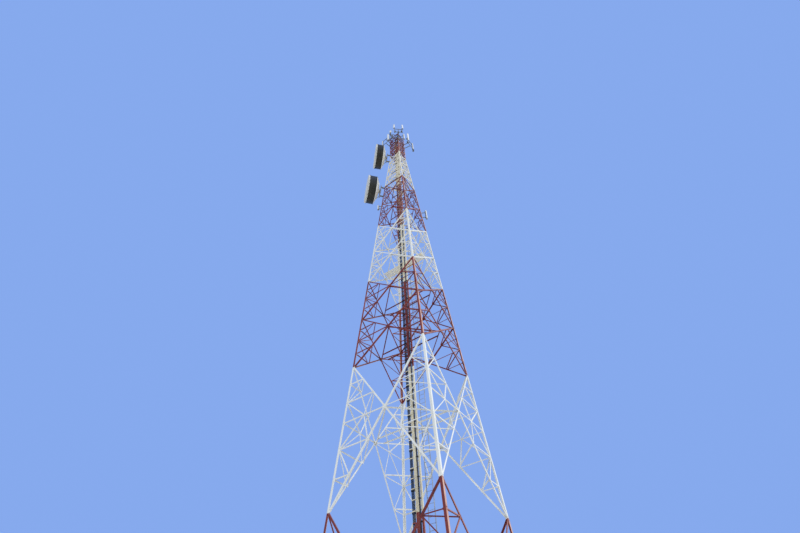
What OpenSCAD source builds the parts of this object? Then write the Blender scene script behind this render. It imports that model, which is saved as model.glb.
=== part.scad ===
// Self-supporting lattice tower with antennas, modelled at half the real size.
// A real length is twice the length given here, in millimetres.
// The tower's faces are numbered from the front, y low: 0 front, 1 right, 2 back, 3 left.
// The origin is the middle of the front left base plate, on its underside.

/* [Tower] */
// Height of seven equal paint bands, the last of which the legs don't fill
tower_h = 30000; // [27000:100:33000]
// How far the legs stop below that height
head_drop = 1100; // [1000:10:1250]
// Width between the outer faces of two legs at the ground
base_w = 3780; // [3500:10:4100]
// Width of the top section, above the bend in the legs
top_w = 750; // [720:5:800]

/* [Legs] */
// Flange of the leg angle in the lower four bands
leg_w = 66; // [60:1:74]
// Flange of the leg angle above them
upper_leg_w = 56; // [48:1:60]
// Thickness of the leg angle
leg_t = 8; // [6:0.5:10]
// Side of a square base plate
plate_w = 250; // [230:5:280]
// Thickness of a base plate
plate_t = 20; // [14:1:28]
// Distance from a leg's outer face to the middle of its base plate
plate_in = 34; // [28:1:40]
// Distance between two anchor holes along one side
anchor_pitch = 180; // [160:5:190]
// Diameter of an anchor hole
anchor_d = 22; // [18:1:26]

/* [Bracing] */
// Flange of the long diagonals in the lower four bands
diag_w = 42; // [38:1:48]
// Flange of the long diagonals above them
upper_diag_w = 36; // [31:1:38]
// Thickness of the long diagonals
diag_t = 4.5; // [4.5:0.5:6]
// Flange of the short bars that divide the large panels
sub_w = 26; // [23:1:30]
// Thickness of the short bars
sub_t = 3; // [2.5:0.5:3]
// Side of the plate where two long diagonals cross
gusset_w = 130; // [110:5:150]
// Flange of the plan bracing inside the tower
plan_w = 32; // [28:1:38]
// Thickness of the plan bracing
plan_t = 4; // [3:0.5:5]

/* [Ladders and platform] */
// Width of the cable ladder
cable_ladder_w = 215; // [215:1:235]
// Width of the climbing ladder
climb_ladder_w = 200; // [180:5:220]
// Distance between two rungs of the climbing ladder
rung_pitch = 150; // [140:5:175]
// Distance between two rungs of the cable ladder
hanger_pitch = 515; // [400:5:600]
// Diameter of a feeder cable
feeder_d = 25; // [20:1:25]
// Diameter of the waveguide that runs to the upper dish
waveguide_d = 40; // [34:1:40]
// Width of the rest platform
deck_w = 350; // [330:5:356]
// Thickness of the platform's grating
deck_t = 15; // [12:1:20]
// Height of the platform above the plan bracing that carries it
deck_rise = 165; // [120:5:220]

/* [Dishes] */
// Diameter of a dish
dish_d = 1560; // [1450:10:1620]
// Length of a dish's shroud
shroud_l = 480; // [420:10:540]
// Depth of the reflector behind the shroud
bowl_l = 170; // [140:5:200]
// Thickness of a dish's wall
dish_t = 8; // [6:1:10]
// Distance of the upper dish's axis below the tower's height
upper_dish_drop = 4600; // [4550:10:4700]
// Distance of the lower dish's axis below the tower's height
lower_dish_drop = 9310; // [9200:10:9400]

/* [Antennas] */
// Height of a common sector antenna
panel_h = 1000; // [950:10:1050]
// Width of a sector antenna
panel_w = 120; // [105:5:130]
// Depth of a sector antenna
panel_d = 60; // [50:1:70]
// Height of a radio unit
radio_h = 200; // [180:5:210]
// Width of a radio unit
radio_w = 110; // [95:5:120]
// Diameter of the antenna pipes
pipe_d = 38; // [35:1:42]
// Distance of the two side antennas below the lower dish's axis
side_below = 1990; // [1890:10:2090]

/* [Fit] */
// Gap between two pieces that are bolted together
seat = 0.3; // [0.2:0.05:0.5]

/* [Hidden] */

// Paint bands: seven of equal height, red at both ends
band_n = 7;
band_h = tower_h / band_n;
bend_z = (band_n - 1) * band_h;
steel_top = tower_h - head_drop;
red = [0.62, 0.16, 0.12];
white = [0.88, 0.87, 0.82];
cream = [0.82, 0.79, 0.66];
zinc = [0.62, 0.64, 0.65];
black = [0.08, 0.08, 0.09];

// Panels of each band: how many one above the other, and into how many parts
// the short bars divide the leg on each side of the crossing
panels = [1, 1, 2, 2, 2, 4, 4];
parts_of = [3, 3, 2, 2, 2, 1, 1];

// Faces lean inwards up to the bend and stand upright above it
lean = atan((base_w - top_w) / 2 / bend_z);
foot_z = 150;
head_gap = 30;
brace_z = leg_t + seat;
corner_gap = 2;
rib_gap = 6;
short_gap = 1;
corner_clear = brace_z + diag_t + corner_gap;
rib_clear = leg_w + rib_gap;
bend_along = bend_z / cos(lean);

function face_w(z) = z < bend_z ? base_w + (top_w - base_w) * z / bend_z : top_w;
splice_z = 4 * band_h;
function leg_flange(z) = z < splice_z ? leg_w : upper_leg_w;
function long_w(i) = i < 4 ? diag_w : upper_diag_w;
function along(z) = z <= bend_z ? z / cos(lean) : bend_along + z - bend_z;
function half_run(z) = face_w(z) / 2 - leg_flange(z) / 2;
function node_pt(z, s) = [s * half_run(z), along(z)];
function lerp(a, b, t) = a + (b - a) * t;
function crossing_t(z1, z2) = half_run(z1) / (half_run(z1) + half_run(z2));
function crossing_z(z1, z2) = lerp(z1, z2, crossing_t(z1, z2));
function band_z(i) = i == 0 ? foot_z : i == band_n ? steel_top - head_gap : i * band_h;
function panel_z(i, j) = lerp(band_z(i), band_z(i + 1), j / panels[i]);
function corner(k) = [cos(90 * k - 45), sin(90 * k - 45)] * sqrt(2);

// The front face's plane: x along the face, y up the slope, z outwards
module face_frame(k, upper = false) {
    rotate([0, 0, 90 * k])
        translate([0, -(upper ? top_w : base_w) / 2, upper ? bend_z - bend_along : 0])
            rotate([upper ? 90 : 90 - lean, 0, 0])
                children();
}

// Moves the tower so that the front left base plate is at the origin
module placed() {
    translate([base_w / 2 - plate_in, base_w / 2 - plate_in, 0])
        children();
}

// Legs: angles with the heel on the tower's corner line, in lengths that butt at the splices
function heel(k, z) = corner(k) * face_w(z) / 2;

module leg_angle(k, z1, z2, w) {
    p = heel(k, z1);
    run = norm(p) - norm(heel(k, z2));
    translate([p[0], p[1], z1])
        rotate([0, 0, 90 * k - 45])
            rotate([0, -atan(run / (z2 - z1)), 0])
                linear_extrude(norm([run, z2 - z1]))
                    rotate(135)
                        polygon([[0, 0], [w, 0], [w, leg_t], [leg_t, leg_t], [leg_t, w], [0, w]]);
}

leg_start = 50;
module leg(k) {
    color(red)
        placed() {
            difference() {
                leg_angle(k, -leg_start, splice_z, leg_w);
                translate([-base_w, -base_w, -2 * leg_start])
                    cube([2 * base_w, 2 * base_w, 2 * leg_start + plate_t + seat]);
            }
            leg_angle(k, splice_z + seat, bend_z, upper_leg_w);
            leg_angle(k, bend_z + seat, steel_top, upper_leg_w);
        }
}

module base_plates() {
    in_by = base_w / 2 - plate_in;
    color(zinc)
        placed()
            for (k = [0:3])
                translate([corner(k)[0] * in_by, corner(k)[1] * in_by, 0])
                    difference() {
                        translate([-plate_w / 2, -plate_w / 2, 0])
                            cube([plate_w, plate_w, plate_t]);
                        for (x = [-1, 1], y = [-1, 1])
                            translate([x * anchor_pitch / 2, y * anchor_pitch / 2, -1])
                                cylinder(h = plate_t + 2, d = anchor_d, $fn = 32);
                    }
}

// Bars of one panel as [from, to, long or not]
function centre_pt(z1, z2) = [0, along(crossing_z(z1, z2))];
function side_pt(z1, z2, s) = node_pt(crossing_z(z1, z2), s);
function quarter_bars(e, m, x, n) =
    n == 3 ? [
        [lerp(e, m, 1 / 3), lerp(e, x, 1 / 3), false],
        [lerp(e, m, 2 / 3), lerp(e, x, 2 / 3), false],
        [lerp(e, x, 1 / 3), lerp(e, m, 2 / 3), false],
        [lerp(e, m, 2 / 3), (m + x) / 2, false],
        [lerp(e, x, 2 / 3), (m + x) / 2, false]
    ] : n == 2 ? [
        [lerp(e, m, 1 / 2), lerp(e, x, 1 / 2), false],
        [lerp(e, x, 1 / 2), m, false]
    ] : [];
function panel_bars(z1, z2, n) = concat(
    [[node_pt(z1, -1), node_pt(z2, 1), true], [node_pt(z1, 1), node_pt(z2, -1), true]],
    n > 1 ? [for (s = [-1, 1]) [side_pt(z1, z2, s), centre_pt(z1, z2), false]] : [],
    [for (s = [-1, 1], e = [z1, z2])
        each quarter_bars(node_pt(e, s), side_pt(z1, z2, s), centre_pt(z1, z2), n)]
);

// Heights of the bars that run straight across a face, in the narrow bands
level_gap = 40;
function cross_levels(i) =
    i < 4 ? [] :
    i == 4 ? [band_z(5) - level_gap] :
    i == 5 ? [for (j = [1:panels[i] - 1]) panel_z(i, j)] :
    [band_z(6) + level_gap, for (j = [1:panels[i]]) panel_z(i, j)];
function band_bars(i) = concat(
    [for (j = [0:panels[i] - 1]) each panel_bars(panel_z(i, j), panel_z(i, j + 1), parts_of[i])],
    [for (z = cross_levels(i)) [node_pt(z, -1), node_pt(z, 1), true]]
);

module along_bar(p, q) {
    translate([p[0], p[1], 0])
        rotate([0, 0, atan2(q[1] - p[1], q[0] - p[0])])
            children();
}

module bar_flat(p, q, w, lap) {
    along_bar(p, q)
        translate([-lap, -w / 2])
            square([norm(q - p) + 2 * lap, w]);
}

module bar_rib(p, q, w, t, cope) {
    along_bar(p, q)
        translate([cope, -w / 2])
            square([norm(q - p) - 2 * cope, t]);
}

// Plates: at a leg, and where bars meet in the middle of a panel
leg_plate_h = 120;
small_plate_h = 80;
plate_reach = 56;
module leg_plate(z, s, h) {
    z1 = z - h / 2;
    z2 = z + h / 2;
    c = h / 4;
    polygon([
        [s * (half_run(z1) + leg_w), along(z1)], [s * half_run(z1), along(z1)],
        [s * (half_run(z1) - plate_reach), along(z1 + c)], [s * (half_run(z2) - plate_reach), along(z2 - c)],
        [s * half_run(z2), along(z2)], [s * (half_run(z2) + leg_w), along(z2)]
    ]);
}

module mid_plate(p, w, h) {
    translate(p)
        square([w, h], center = true);
}

module panel_plates(z1, z2, n) {
    zm = crossing_z(z1, z2);
    mid_plate(centre_pt(z1, z2), gusset_w, gusset_w);
    for (s = [-1, 1]) {
        for (z = [z1, z2])
            leg_plate(z, s, leg_plate_h);
        if (n > 1)
            leg_plate(zm, s, small_plate_h);
        if (n > 1)
            for (z = [z1, z2], j = [1:n - 1])
                leg_plate(lerp(z, zm, j / n), s, small_plate_h);
        if (n == 3)
            mid_plate((side_pt(z1, z2, s) + centre_pt(z1, z2)) / 2, small_plate_h, plate_reach);
    }
}

// What lies outside a band, or too near the other faces at its two edges
module band_edge(i, clear) {
    z1 = band_z(i) - (i == 0 ? foot_z / 2 : 0);
    z2 = i == band_n - 1 ? steel_top : band_z(i + 1);
    far = base_w;
    for (s = [-1, 1])
        polygon([
            [s * (face_w(z1) / 2 - clear), along(z1) - 1], [s * (face_w(z2) / 2 - clear), along(z2) + 1],
            [s * far, along(z2) + 1], [s * far, along(z1) - 1]
        ]);
    translate([-far, along(z2) - seat / 2])
        square([2 * far, far]);
    translate([-far, along(z1) + seat / 2 - far])
        square([2 * far, far]);
}

module layer(from, deep) {
    translate([0, 0, -from - deep])
        linear_extrude(deep)
            children();
}

short_lap = 10;
long_lap = 20;
short_cope = 55;
short_from = 1;
module bracing_band(k, i) {
    long_bars = [for (b = band_bars(i)) if (b[2]) b];
    short_bars = [for (b = band_bars(i)) if (!b[2]) b];
    w = long_w(i);
    color(i % 2 == 0 ? red : white)
        face_frame(k, i == band_n - 1)
            translate([0, 0, -brace_z]) {
                layer(0, diag_t)
                    difference() {
                        union() {
                            for (b = long_bars)
                                bar_flat(b[0], b[1], w, long_lap);
                            for (j = [0:panels[i] - 1])
                                panel_plates(panel_z(i, j), panel_z(i, j + 1), parts_of[i]);
                            for (z = cross_levels(i), s = [-1, 1])
                                leg_plate(z, s, small_plate_h);
                        }
                        band_edge(i, corner_clear);
                    }
                layer(diag_t / 2, w - diag_t / 2)
                    difference() {
                        for (b = long_bars)
                            bar_rib(b[0], b[1], w, diag_t, 0);
                        band_edge(i, rib_clear);
                    }
                if (len(short_bars) > 0) {
                    layer(short_from, sub_t)
                        difference() {
                            for (b = short_bars)
                                bar_flat(b[0], b[1], sub_w, short_lap);
                            band_edge(i, corner_clear + short_gap);
                        }
                    layer(short_from + sub_t / 2, sub_w - sub_t / 2)
                        difference() {
                            for (b = short_bars)
                                bar_rib(b[0], b[1], sub_w, sub_t, short_cope);
                            band_edge(i, rib_clear + short_gap);
                        }
                }
            }
}

module bracing(k, first, last) {
    placed()
        for (i = [first:last])
            bracing_band(k, i);
}

// Plan bracing: a diamond between the crossings of the four faces
lug_w = 90;
lug_t = 8;
function lug_z(i) = brace_z + long_w(i) + seat + lug_t;
function ring_a(z, i) = face_w(z) / 2 - lug_z(i) / cos(lean) - plan_w / 2 * sin(45) + lug_t / 2;
function diamond_pt(a, k) = a * [cos(90 * k - 90), sin(90 * k - 90)];

module plan_bar(p, q) {
    along_bar(p, q) {
        translate([0, -plan_w / 2, -plan_t])
            cube([norm(q - p), plan_w, plan_t]);
        translate([0, plan_w / 2 - plan_t, -plan_w])
            cube([norm(q - p), plan_t, plan_w]);
    }
}

module plan_lug(k, z, i) {
    face_frame(k)
        translate([-lug_w / 2, along(z) - lug_w / 2, -lug_z(i)])
            cube([lug_w, lug_w, lug_t]);
}

cable_y = -225;
climb_y = 190;
rail_d = 36;
front_beam_y = cable_y + rail_d / 2 + seat + plan_w / 2;
back_beam_y = climb_y - rail_d / 2 - seat - plan_w / 2;

module plan_ring(z, i) {
    a = ring_a(z, i);
    for (k = [0:3]) {
        plan_lug(k, z, i);
        translate([0, 0, z])
            plan_bar(diamond_pt(a, k), diamond_pt(a, k + 1));
    }
    for (y = [front_beam_y, back_beam_y])
        translate([0, 0, z])
            plan_bar([abs(y) - a, y], [a - abs(y), y]);
}

module plan_rings(first, last) {
    placed()
        for (i = [first:last], j = [0:panels[i] - 1])
            color(i % 2 == 0 ? red : white)
                plan_ring(crossing_z(panel_z(i, j), panel_z(i, j + 1)), i);
}

// Beams that carry the ladders across the narrow top sections
module ladder_beam(z) {
    tilt = z < bend_z ? lean : 0;
    reach = face_w(z) / 2 - (brace_z + upper_diag_w + seat) / cos(tilt) - plan_w * tan(tilt);
    for (y = [front_beam_y, back_beam_y])
        translate([0, 0, z])
            plan_bar([-reach, y], [reach, y]);
}

module ladder_beams() {
    color(zinc)
        placed()
            for (i = [5:6], z = cross_levels(i))
                ladder_beam(z);
}

// Cable ladder: two painted rails, rungs, and arms that carry the black cables on its left
cable_x = 140;
ladder_foot = 300;
ladder_top = steel_top - 300;
rail_t = 5;
left_rail_w = 35;
right_rail_w = 56;
rung_h = 30;
first_rung = 147;
cable_left = cable_x - cable_ladder_w / 2;
cable_right = cable_x + cable_ladder_w / 2;
black_n = 3;
painted_n = 3;
cable_gap = 1.5;
black_gap = 8;
painted_pitch = feeder_d + cable_gap;
black_pitch = feeder_d + black_gap;
arm_l = black_n * black_pitch + 4;
module ladder_flat(x, w, d, z, h) {
    translate([x, cable_y - rail_d / 2, z])
        cube([w, d, h]);
}

module cable_ladder() {
    rail_h = ladder_top - ladder_foot;
    first = ladder_foot + first_rung;
    color(cream)
        placed() {
            ladder_flat(cable_left, left_rail_w, rail_t, ladder_foot, rail_h);
            ladder_flat(cable_right - right_rail_w, right_rail_w, rail_t, ladder_foot, rail_h);
            for (x = [cable_left, cable_right - rail_t])
                ladder_flat(x, rail_t, rail_d, ladder_foot, rail_h);
            for (z = [first : hanger_pitch / 2 : ladder_top - rung_h])
                ladder_flat(cable_left, cable_ladder_w, rail_t, z, rung_h);
            for (z = [first + hanger_pitch / 2 : hanger_pitch : ladder_top - rung_h])
                ladder_flat(cable_left - arm_l, arm_l + 1, rail_t, z, rung_h);
        }
}

// Cables in front of the ladder: black ones on the arms, a waveguide, and some under the paint
top_step = 400;
module cable_run(x, d, top) {
    translate([x, cable_y - rail_d / 2 - seat - d / 2, ladder_foot])
        cylinder(h = top - ladder_foot, d = d, $fn = 24);
}

module feeder_cables() {
    color(black)
        placed() {
            for (i = [1:black_n])
                cable_run(cable_left - black_pitch * i + feeder_d / 2, feeder_d, ladder_top - top_step * i);
            cable_run(cable_right - right_rail_w - cable_gap - waveguide_d / 2, waveguide_d, upper_dish_z);
        }
}

module painted_cables() {
    color(cream)
        placed()
            for (i = [1:painted_n])
                cable_run(
                    cable_left + left_rail_w + painted_pitch * i - feeder_d / 2,
                    feeder_d, ladder_top - top_step * (i + 1)
                );
}

// Climbing ladder, close to the right face's bars in the narrow top section
climb_rail_t = 6;
climb_clear = 7.7;
climb_x = top_w / 2 - brace_z - upper_diag_w - climb_clear - (climb_ladder_w + climb_rail_t) / 2;
rung_d = 11;
module climbing_ladder() {
    color(zinc)
        placed() {
            for (x = [climb_x - climb_ladder_w / 2, climb_x + climb_ladder_w / 2])
                translate([x - climb_rail_t / 2, climb_y - rail_d / 2, ladder_foot])
                    cube([climb_rail_t, rail_d, ladder_top - ladder_foot]);
            for (z = [ladder_foot + rung_pitch / 2 : rung_pitch : ladder_top - rung_d])
                translate([climb_x - climb_ladder_w / 2, climb_y, z])
                    rotate([0, 90, 0])
                        cylinder(h = climb_ladder_w, d = rung_d, $fn = 6);
        }
}

// Rest platform: a grating on short posts that stand on the plan bracing of the fourth band
deck_level = crossing_z(panel_z(3, 0), panel_z(3, 1));
deck_z = deck_level + deck_rise;
deck_rim = 6;
deck_rim_h = 30;
deck_bar_t = 5;
deck_bar_n = 16;
deck_tie_n = 20;
deck_post_w = 24;
deck_post_x = 650;
deck_post_y = (deck_w - deck_post_w) / 2 - 1;
module deck_bars(half_l) {
    for (i = [1:deck_bar_n])
        translate([0, lerp(-deck_w / 2, deck_w / 2, i / (deck_bar_n + 1))])
            square([2 * half_l - deck_rim, deck_bar_t], center = true);
    for (i = [1:deck_tie_n])
        translate([lerp(-half_l, half_l, i / (deck_tie_n + 1)), 0])
            square([deck_bar_t, deck_w - deck_rim], center = true);
}

module platform() {
    half_l = face_w(deck_z) / 2 - (brace_z + long_w(3) + seat + 4) / cos(lean) - deck_rim_h * tan(lean);
    mid_y = (front_beam_y + back_beam_y) / 2;
    color(cream)
        placed()
            translate([0, mid_y, deck_z]) {
                linear_extrude(deck_rim_h)
                    difference() {
                        square([2 * half_l, deck_w], center = true);
                        square([2 * (half_l - deck_rim), deck_w - 2 * deck_rim], center = true);
                    }
                translate([0, 0, 1])
                    linear_extrude(deck_t)
                        deck_bars(half_l);
                for (s = [-1, 1], x = [-1, 0, 1])
                    translate([x * deck_post_x, s * deck_post_y, (deck_t - deck_rise) / 2])
                        cube([deck_post_w, deck_post_w, deck_rise + deck_t - 2 * seat], center = true);
            }
}

// Dishes: each points away from the front left leg
upper_dish_z = tower_h - upper_dish_drop;
lower_dish_z = tower_h - lower_dish_drop;
upper_dish_az = 226;
lower_dish_az = 229;
dish_front = 1005;
hub_d = 260;
hub_neck = 0.7;
mast_out = 210;
dish_pipe_d = 57;
dish_pipe_l = 1400;
dish_arm_spread = 1000;
dish_arm_w = 90;
dish_arm_t = 14;
skirt_l = 90;
radome_t = 4;
bowl_steps = 14;
leg_tilt = atan(sqrt(2) * tan(lean));
function bowl_pts(d, n) = [for (i = [0:n])
    let (r = lerp(d / 2, hub_d / 2, i / n)) [r, -bowl_l * (1 - pow(2 * r / d, 2))]];

module at_heel(k, z, az) {
    placed()
        translate([heel(k, z)[0], heel(k, z)[1], z])
            rotate([0, 0, az])
                children();
}

module dish_body() {
    neck_l = dish_front - shroud_l - mast_out;
    bowl_floor = bowl_l * (1 - pow(hub_d / dish_d, 2));
    rotate([0, 90, 0]) {
        rotate_extrude($fn = 64)
            polygon(concat(
                [[dish_d / 2, shroud_l], [dish_d / 2 - dish_t, shroud_l]],
                [for (p = bowl_pts(dish_d - 2 * dish_t, bowl_steps)) p],
                [[0, -bowl_floor], [0, -bowl_floor - dish_t]],
                [for (i = [0:bowl_steps]) let (p = bowl_pts(dish_d, bowl_steps)[bowl_steps - i])
                    [p[0], p[1] - dish_t]]
            ));
        translate([0, 0, -neck_l])
            cylinder(h = neck_l - bowl_floor - dish_t / 2, d = hub_d * hub_neck, $fn = 48);
    }
}

// The neck of the hub is cut where it meets the pipe, which is parallel to the leg
module dish(z, az) {
    color(black)
        at_heel(3, z, az)
            difference() {
                translate([dish_front - shroud_l, 0, 0])
                    dish_body();
                translate([mast_out, 0, 0])
                    rotate([0, -leg_tilt, 0])
                        translate([-hub_d, -hub_d, -hub_d])
                            cube([hub_d + dish_pipe_d / 2 + seat, 2 * hub_d, 2 * hub_d]);
            }
}

module radome(z, az) {
    color(cream)
        at_heel(3, z, az)
            translate([dish_front + seat, 0, 0])
                rotate([0, 90, 0])
                    rotate_extrude($fn = 64)
                        polygon([
                            [0, 0], [dish_d / 2 + seat, 0], [dish_d / 2 + seat, -skirt_l],
                            [dish_d / 2 + seat + radome_t, -skirt_l], [dish_d / 2 + seat + radome_t, 0],
                            [dish_d / 2, radome_t], [dish_d / 3, radome_t * 3], [0, radome_t * 5]
                        ]);
}

// Arms cut to the corner of the leg, and a pipe in front of it
arm_in = 100;
module leg_mount(k, z, az, out, pipe_l, d, spread, arm_w, arm_t, tilt) {
    placed()
        difference() {
            translate([heel(k, z)[0], heel(k, z)[1], z])
                rotate([0, 0, az]) {
                    translate([out, 0, 0])
                        rotate([0, -tilt, 0])
                            translate([0, 0, -pipe_l / 2])
                                cylinder(h = pipe_l, d = d, $fn = 32);
                    for (s = [-1, 1])
                        translate([-arm_in, -arm_w / 2, s * spread / 2 - arm_t / 2])
                            cube([out - s * spread / 2 * tan(tilt) + arm_in, arm_w, arm_t]);
                }
            for (s = [-1, 1])
                let (h = face_w(z + s * spread / 2 - arm_t / 2) / 2 + seat)
                    translate([-h, -h, z + s * spread / 2 - arm_t])
                        cube([2 * h, 2 * h, 2 * arm_t]);
        }
}

module dish_mount(z, az) {
    color(zinc)
        leg_mount(
            3, z, az, mast_out, dish_pipe_l, dish_pipe_d,
            dish_arm_spread, dish_arm_w, dish_arm_t, leg_tilt
        );
}

// Antenna pipes at the top as [leg, direction, distance from the leg's heel, lower end, upper end],
// with heights measured from the top of the legs
head_pipes = [
    [0, -6, 400, -720, 740], [0, 267, 410, -720, 665], [0, 24, 365, -1475, -535],
    [1, -19, 450, -1420, 340], [1, 35, 545, -1950, -530],
    [3, 292, 400, -1470, -250], [3, 225, 480, -1850, -600], [3, 313, 460, -400, 260],
    [0, 223, 400, -1200, -440]
];
// Two pipes joined by bars and held by arms: [first pipe, second pipe, upper bar, lower bar]
head_sectors = [[0, 1, -100, -650], [3, 4, -700, -1350], [5, 6, -700, -1400]];
// Single pipes: [pipe, upper arm, lower arm]
head_singles = [[2, -800, -1250], [7, -80, -330], [8, -500, -1000]];
// Antennas: [pipe, middle, share of the common height]
head_antennas = [
    [0, 350, 0.7], [1, 300, 0.65], [2, -1000, 0.85], [3, -300, 1.2],
    [4, -1100, 1.05], [5, -800, 1], [6, -1300, 1], [7, 50, 0.35]
];
// Radio units: [pipe, middle, 1 in front of the pipe or -1 behind it]
head_radios = [
    [0, -375, -1], [1, -500, -1], [3, -450, -1], [3, -1050, -1], [4, -1770, 1],
    [5, -1050, -1], [7, -205, -1], [8, -740, 1], [8, -1060, 1]
];
head_bar = 30;
head_arm_w = 40;
head_arm_h = 36;
head_arm_in = 30;
radio_d = 70;
standing_radio_at = 235;
function pipe_xy(n) =
    let (q = head_pipes[n]) heel(q[0], steel_top) + q[2] * [cos(q[1]), sin(q[1])];
function sector_mid(f) = (pipe_xy(f[0]) + pipe_xy(f[1])) / 2;
function sector_leg(f) = head_pipes[f[0]][0];

module head_pipe(n) {
    q = head_pipes[n];
    translate([pipe_xy(n)[0], pipe_xy(n)[1], steel_top + q[3]])
        cylinder(h = q[4] - q[3], d = pipe_d, $fn = 24);
}

module head_run(p, q, z, w, h, lap) {
    translate([0, 0, steel_top + z - h / 2])
        along_bar(p, q)
            translate([-lap, -w / 2, 0])
                cube([norm(q - p) + lap, w, h]);
}

module sector_frame(f) {
    for (n = [f[0], f[1]])
        head_pipe(n);
    for (z = [f[2], f[3]]) {
        head_run(pipe_xy(f[0]), pipe_xy(f[1]), z, head_bar, head_bar, 0);
        head_run(heel(sector_leg(f), steel_top), sector_mid(f), z, head_arm_w, head_arm_h, head_arm_in);
    }
}

module single_mount(f) {
    head_pipe(f[0]);
    for (z = [f[1], f[2]])
        head_run(heel(sector_leg(f), steel_top), pipe_xy(f[0]), z, head_bar, head_arm_h, head_arm_in);
}

module sector_frames() {
    inner = top_w / 2 + seat;
    color(zinc)
        placed()
            difference() {
                union() {
                    for (f = head_sectors)
                        sector_frame(f);
                    for (f = head_singles)
                        single_mount(f);
                }
                translate([-inner, -inner, bend_z])
                    cube([2 * inner, 2 * inner, tower_h - bend_z]);
            }
}

module on_pipe(n, z) {
    placed()
        translate([pipe_xy(n)[0], pipe_xy(n)[1], steel_top + z])
            rotate([0, 0, head_pipes[n][1]])
                children();
}

module panel_antenna(h, w, d) {
    c = d * 0.3;
    linear_extrude(h)
        polygon([
            [0, -w / 2 + c / 2], [c / 2, -w / 2], [d - c, -w / 2], [d, -w / 2 + c],
            [d, w / 2 - c], [d - c, w / 2], [c / 2, w / 2], [0, w / 2 - c / 2]
        ]);
}

module sector_antennas() {
    color("white")
        for (q = head_antennas)
            on_pipe(q[0], q[1] - panel_h * q[2] / 2)
                translate([pipe_d / 2 + seat, 0, 0])
                    panel_antenna(panel_h * q[2], panel_w, panel_d);
}

// Radio units: on the antenna pipes, and one that stands on the front sector's lower arm
module radio_box(x) {
    translate([x, -radio_w / 2, 0])
        cube([radio_d, radio_w, radio_h]);
}

module radio_units() {
    f = head_sectors[0];
    from = heel(sector_leg(f), steel_top);
    color(zinc) {
        for (q = head_radios)
            on_pipe(q[0], q[1] - radio_h / 2)
                radio_box(q[2] > 0 ? pipe_d / 2 + seat : -pipe_d / 2 - seat - radio_d);
        placed()
            translate([0, 0, steel_top + f[3] + head_arm_h / 2 + seat])
                along_bar(from, sector_mid(f))
                    radio_box(standing_radio_at - radio_d / 2);
    }
}

// Two single antennas on the legs, a tall one on the right and a short one on the left:
// [leg, direction, distance of the pipe, height, width, depth, raised by]
side_z = lower_dish_z - side_below;
side_specs = [[1, 31, 200, 750, 125, 60, 0], [3, 215, 120, 400, 100, 50, 250]];
side_arm_w = 40;
side_arm_t = 10;
pipe_share = 1.1;
spread_share = 0.6;
module side_brackets() {
    color(zinc)
        for (s = side_specs)
            leg_mount(
                s[0], side_z + s[6], s[1], s[2], s[3] * pipe_share, pipe_d,
                s[3] * spread_share, side_arm_w, side_arm_t, 0
            );
}

module side_antennas() {
    color("white")
        for (s = side_specs)
            at_heel(s[0], side_z + s[6], s[1])
                translate([s[2] + pipe_d / 2 + seat, 0, -s[3] / 2])
                    panel_antenna(s[3], s[4], s[5]);
}

base_plates();
leg(0);  // leg_front_right
leg(1);  // leg_back_right
leg(2);  // leg_back_left
leg(3);  // leg_front_left
bracing(0, 0, 0);  // front_bracing_1
bracing(0, 1, 1);  // front_bracing_2
bracing(0, 2, 2);  // front_bracing_3
bracing(0, 3, 4);  // front_bracing_4
bracing(0, 5, 6);  // front_bracing_top
bracing(1, 0, 0);  // right_bracing_1
bracing(1, 1, 1);  // right_bracing_2
bracing(1, 2, 2);  // right_bracing_3
bracing(1, 3, 4);  // right_bracing_4
bracing(1, 5, 6);  // right_bracing_top
bracing(2, 0, 0);  // back_bracing_1
bracing(2, 1, 1);  // back_bracing_2
bracing(2, 2, 2);  // back_bracing_3
bracing(2, 3, 4);  // back_bracing_4
bracing(2, 5, 6);  // back_bracing_top
bracing(3, 0, 0);  // left_bracing_1
bracing(3, 1, 1);  // left_bracing_2
bracing(3, 2, 2);  // left_bracing_3
bracing(3, 3, 4);  // left_bracing_4
bracing(3, 5, 6);  // left_bracing_top
plan_rings(0, 2);  // plan_bracing_lower
plan_rings(3, 4);  // plan_bracing_upper
ladder_beams();
cable_ladder();
feeder_cables();
painted_cables();
climbing_ladder();
platform();
dish(upper_dish_z, upper_dish_az);  // upper_dish
radome(upper_dish_z, upper_dish_az);  // upper_radome
dish_mount(upper_dish_z, upper_dish_az);  // upper_dish_mount
dish(lower_dish_z, lower_dish_az);  // lower_dish
radome(lower_dish_z, lower_dish_az);  // lower_radome
dish_mount(lower_dish_z, lower_dish_az);  // lower_dish_mount
sector_frames();
sector_antennas();
radio_units();
side_brackets();
side_antennas();
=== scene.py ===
"""Looks of a half-size lattice tower: paint, zinc, bolts, corner bars, dish and antenna details."""

from math import atan, copysign, cos, pi, radians, sin, sqrt, tan, tau

import bmesh
import bpy
from mathutils import Matrix, Vector


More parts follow.
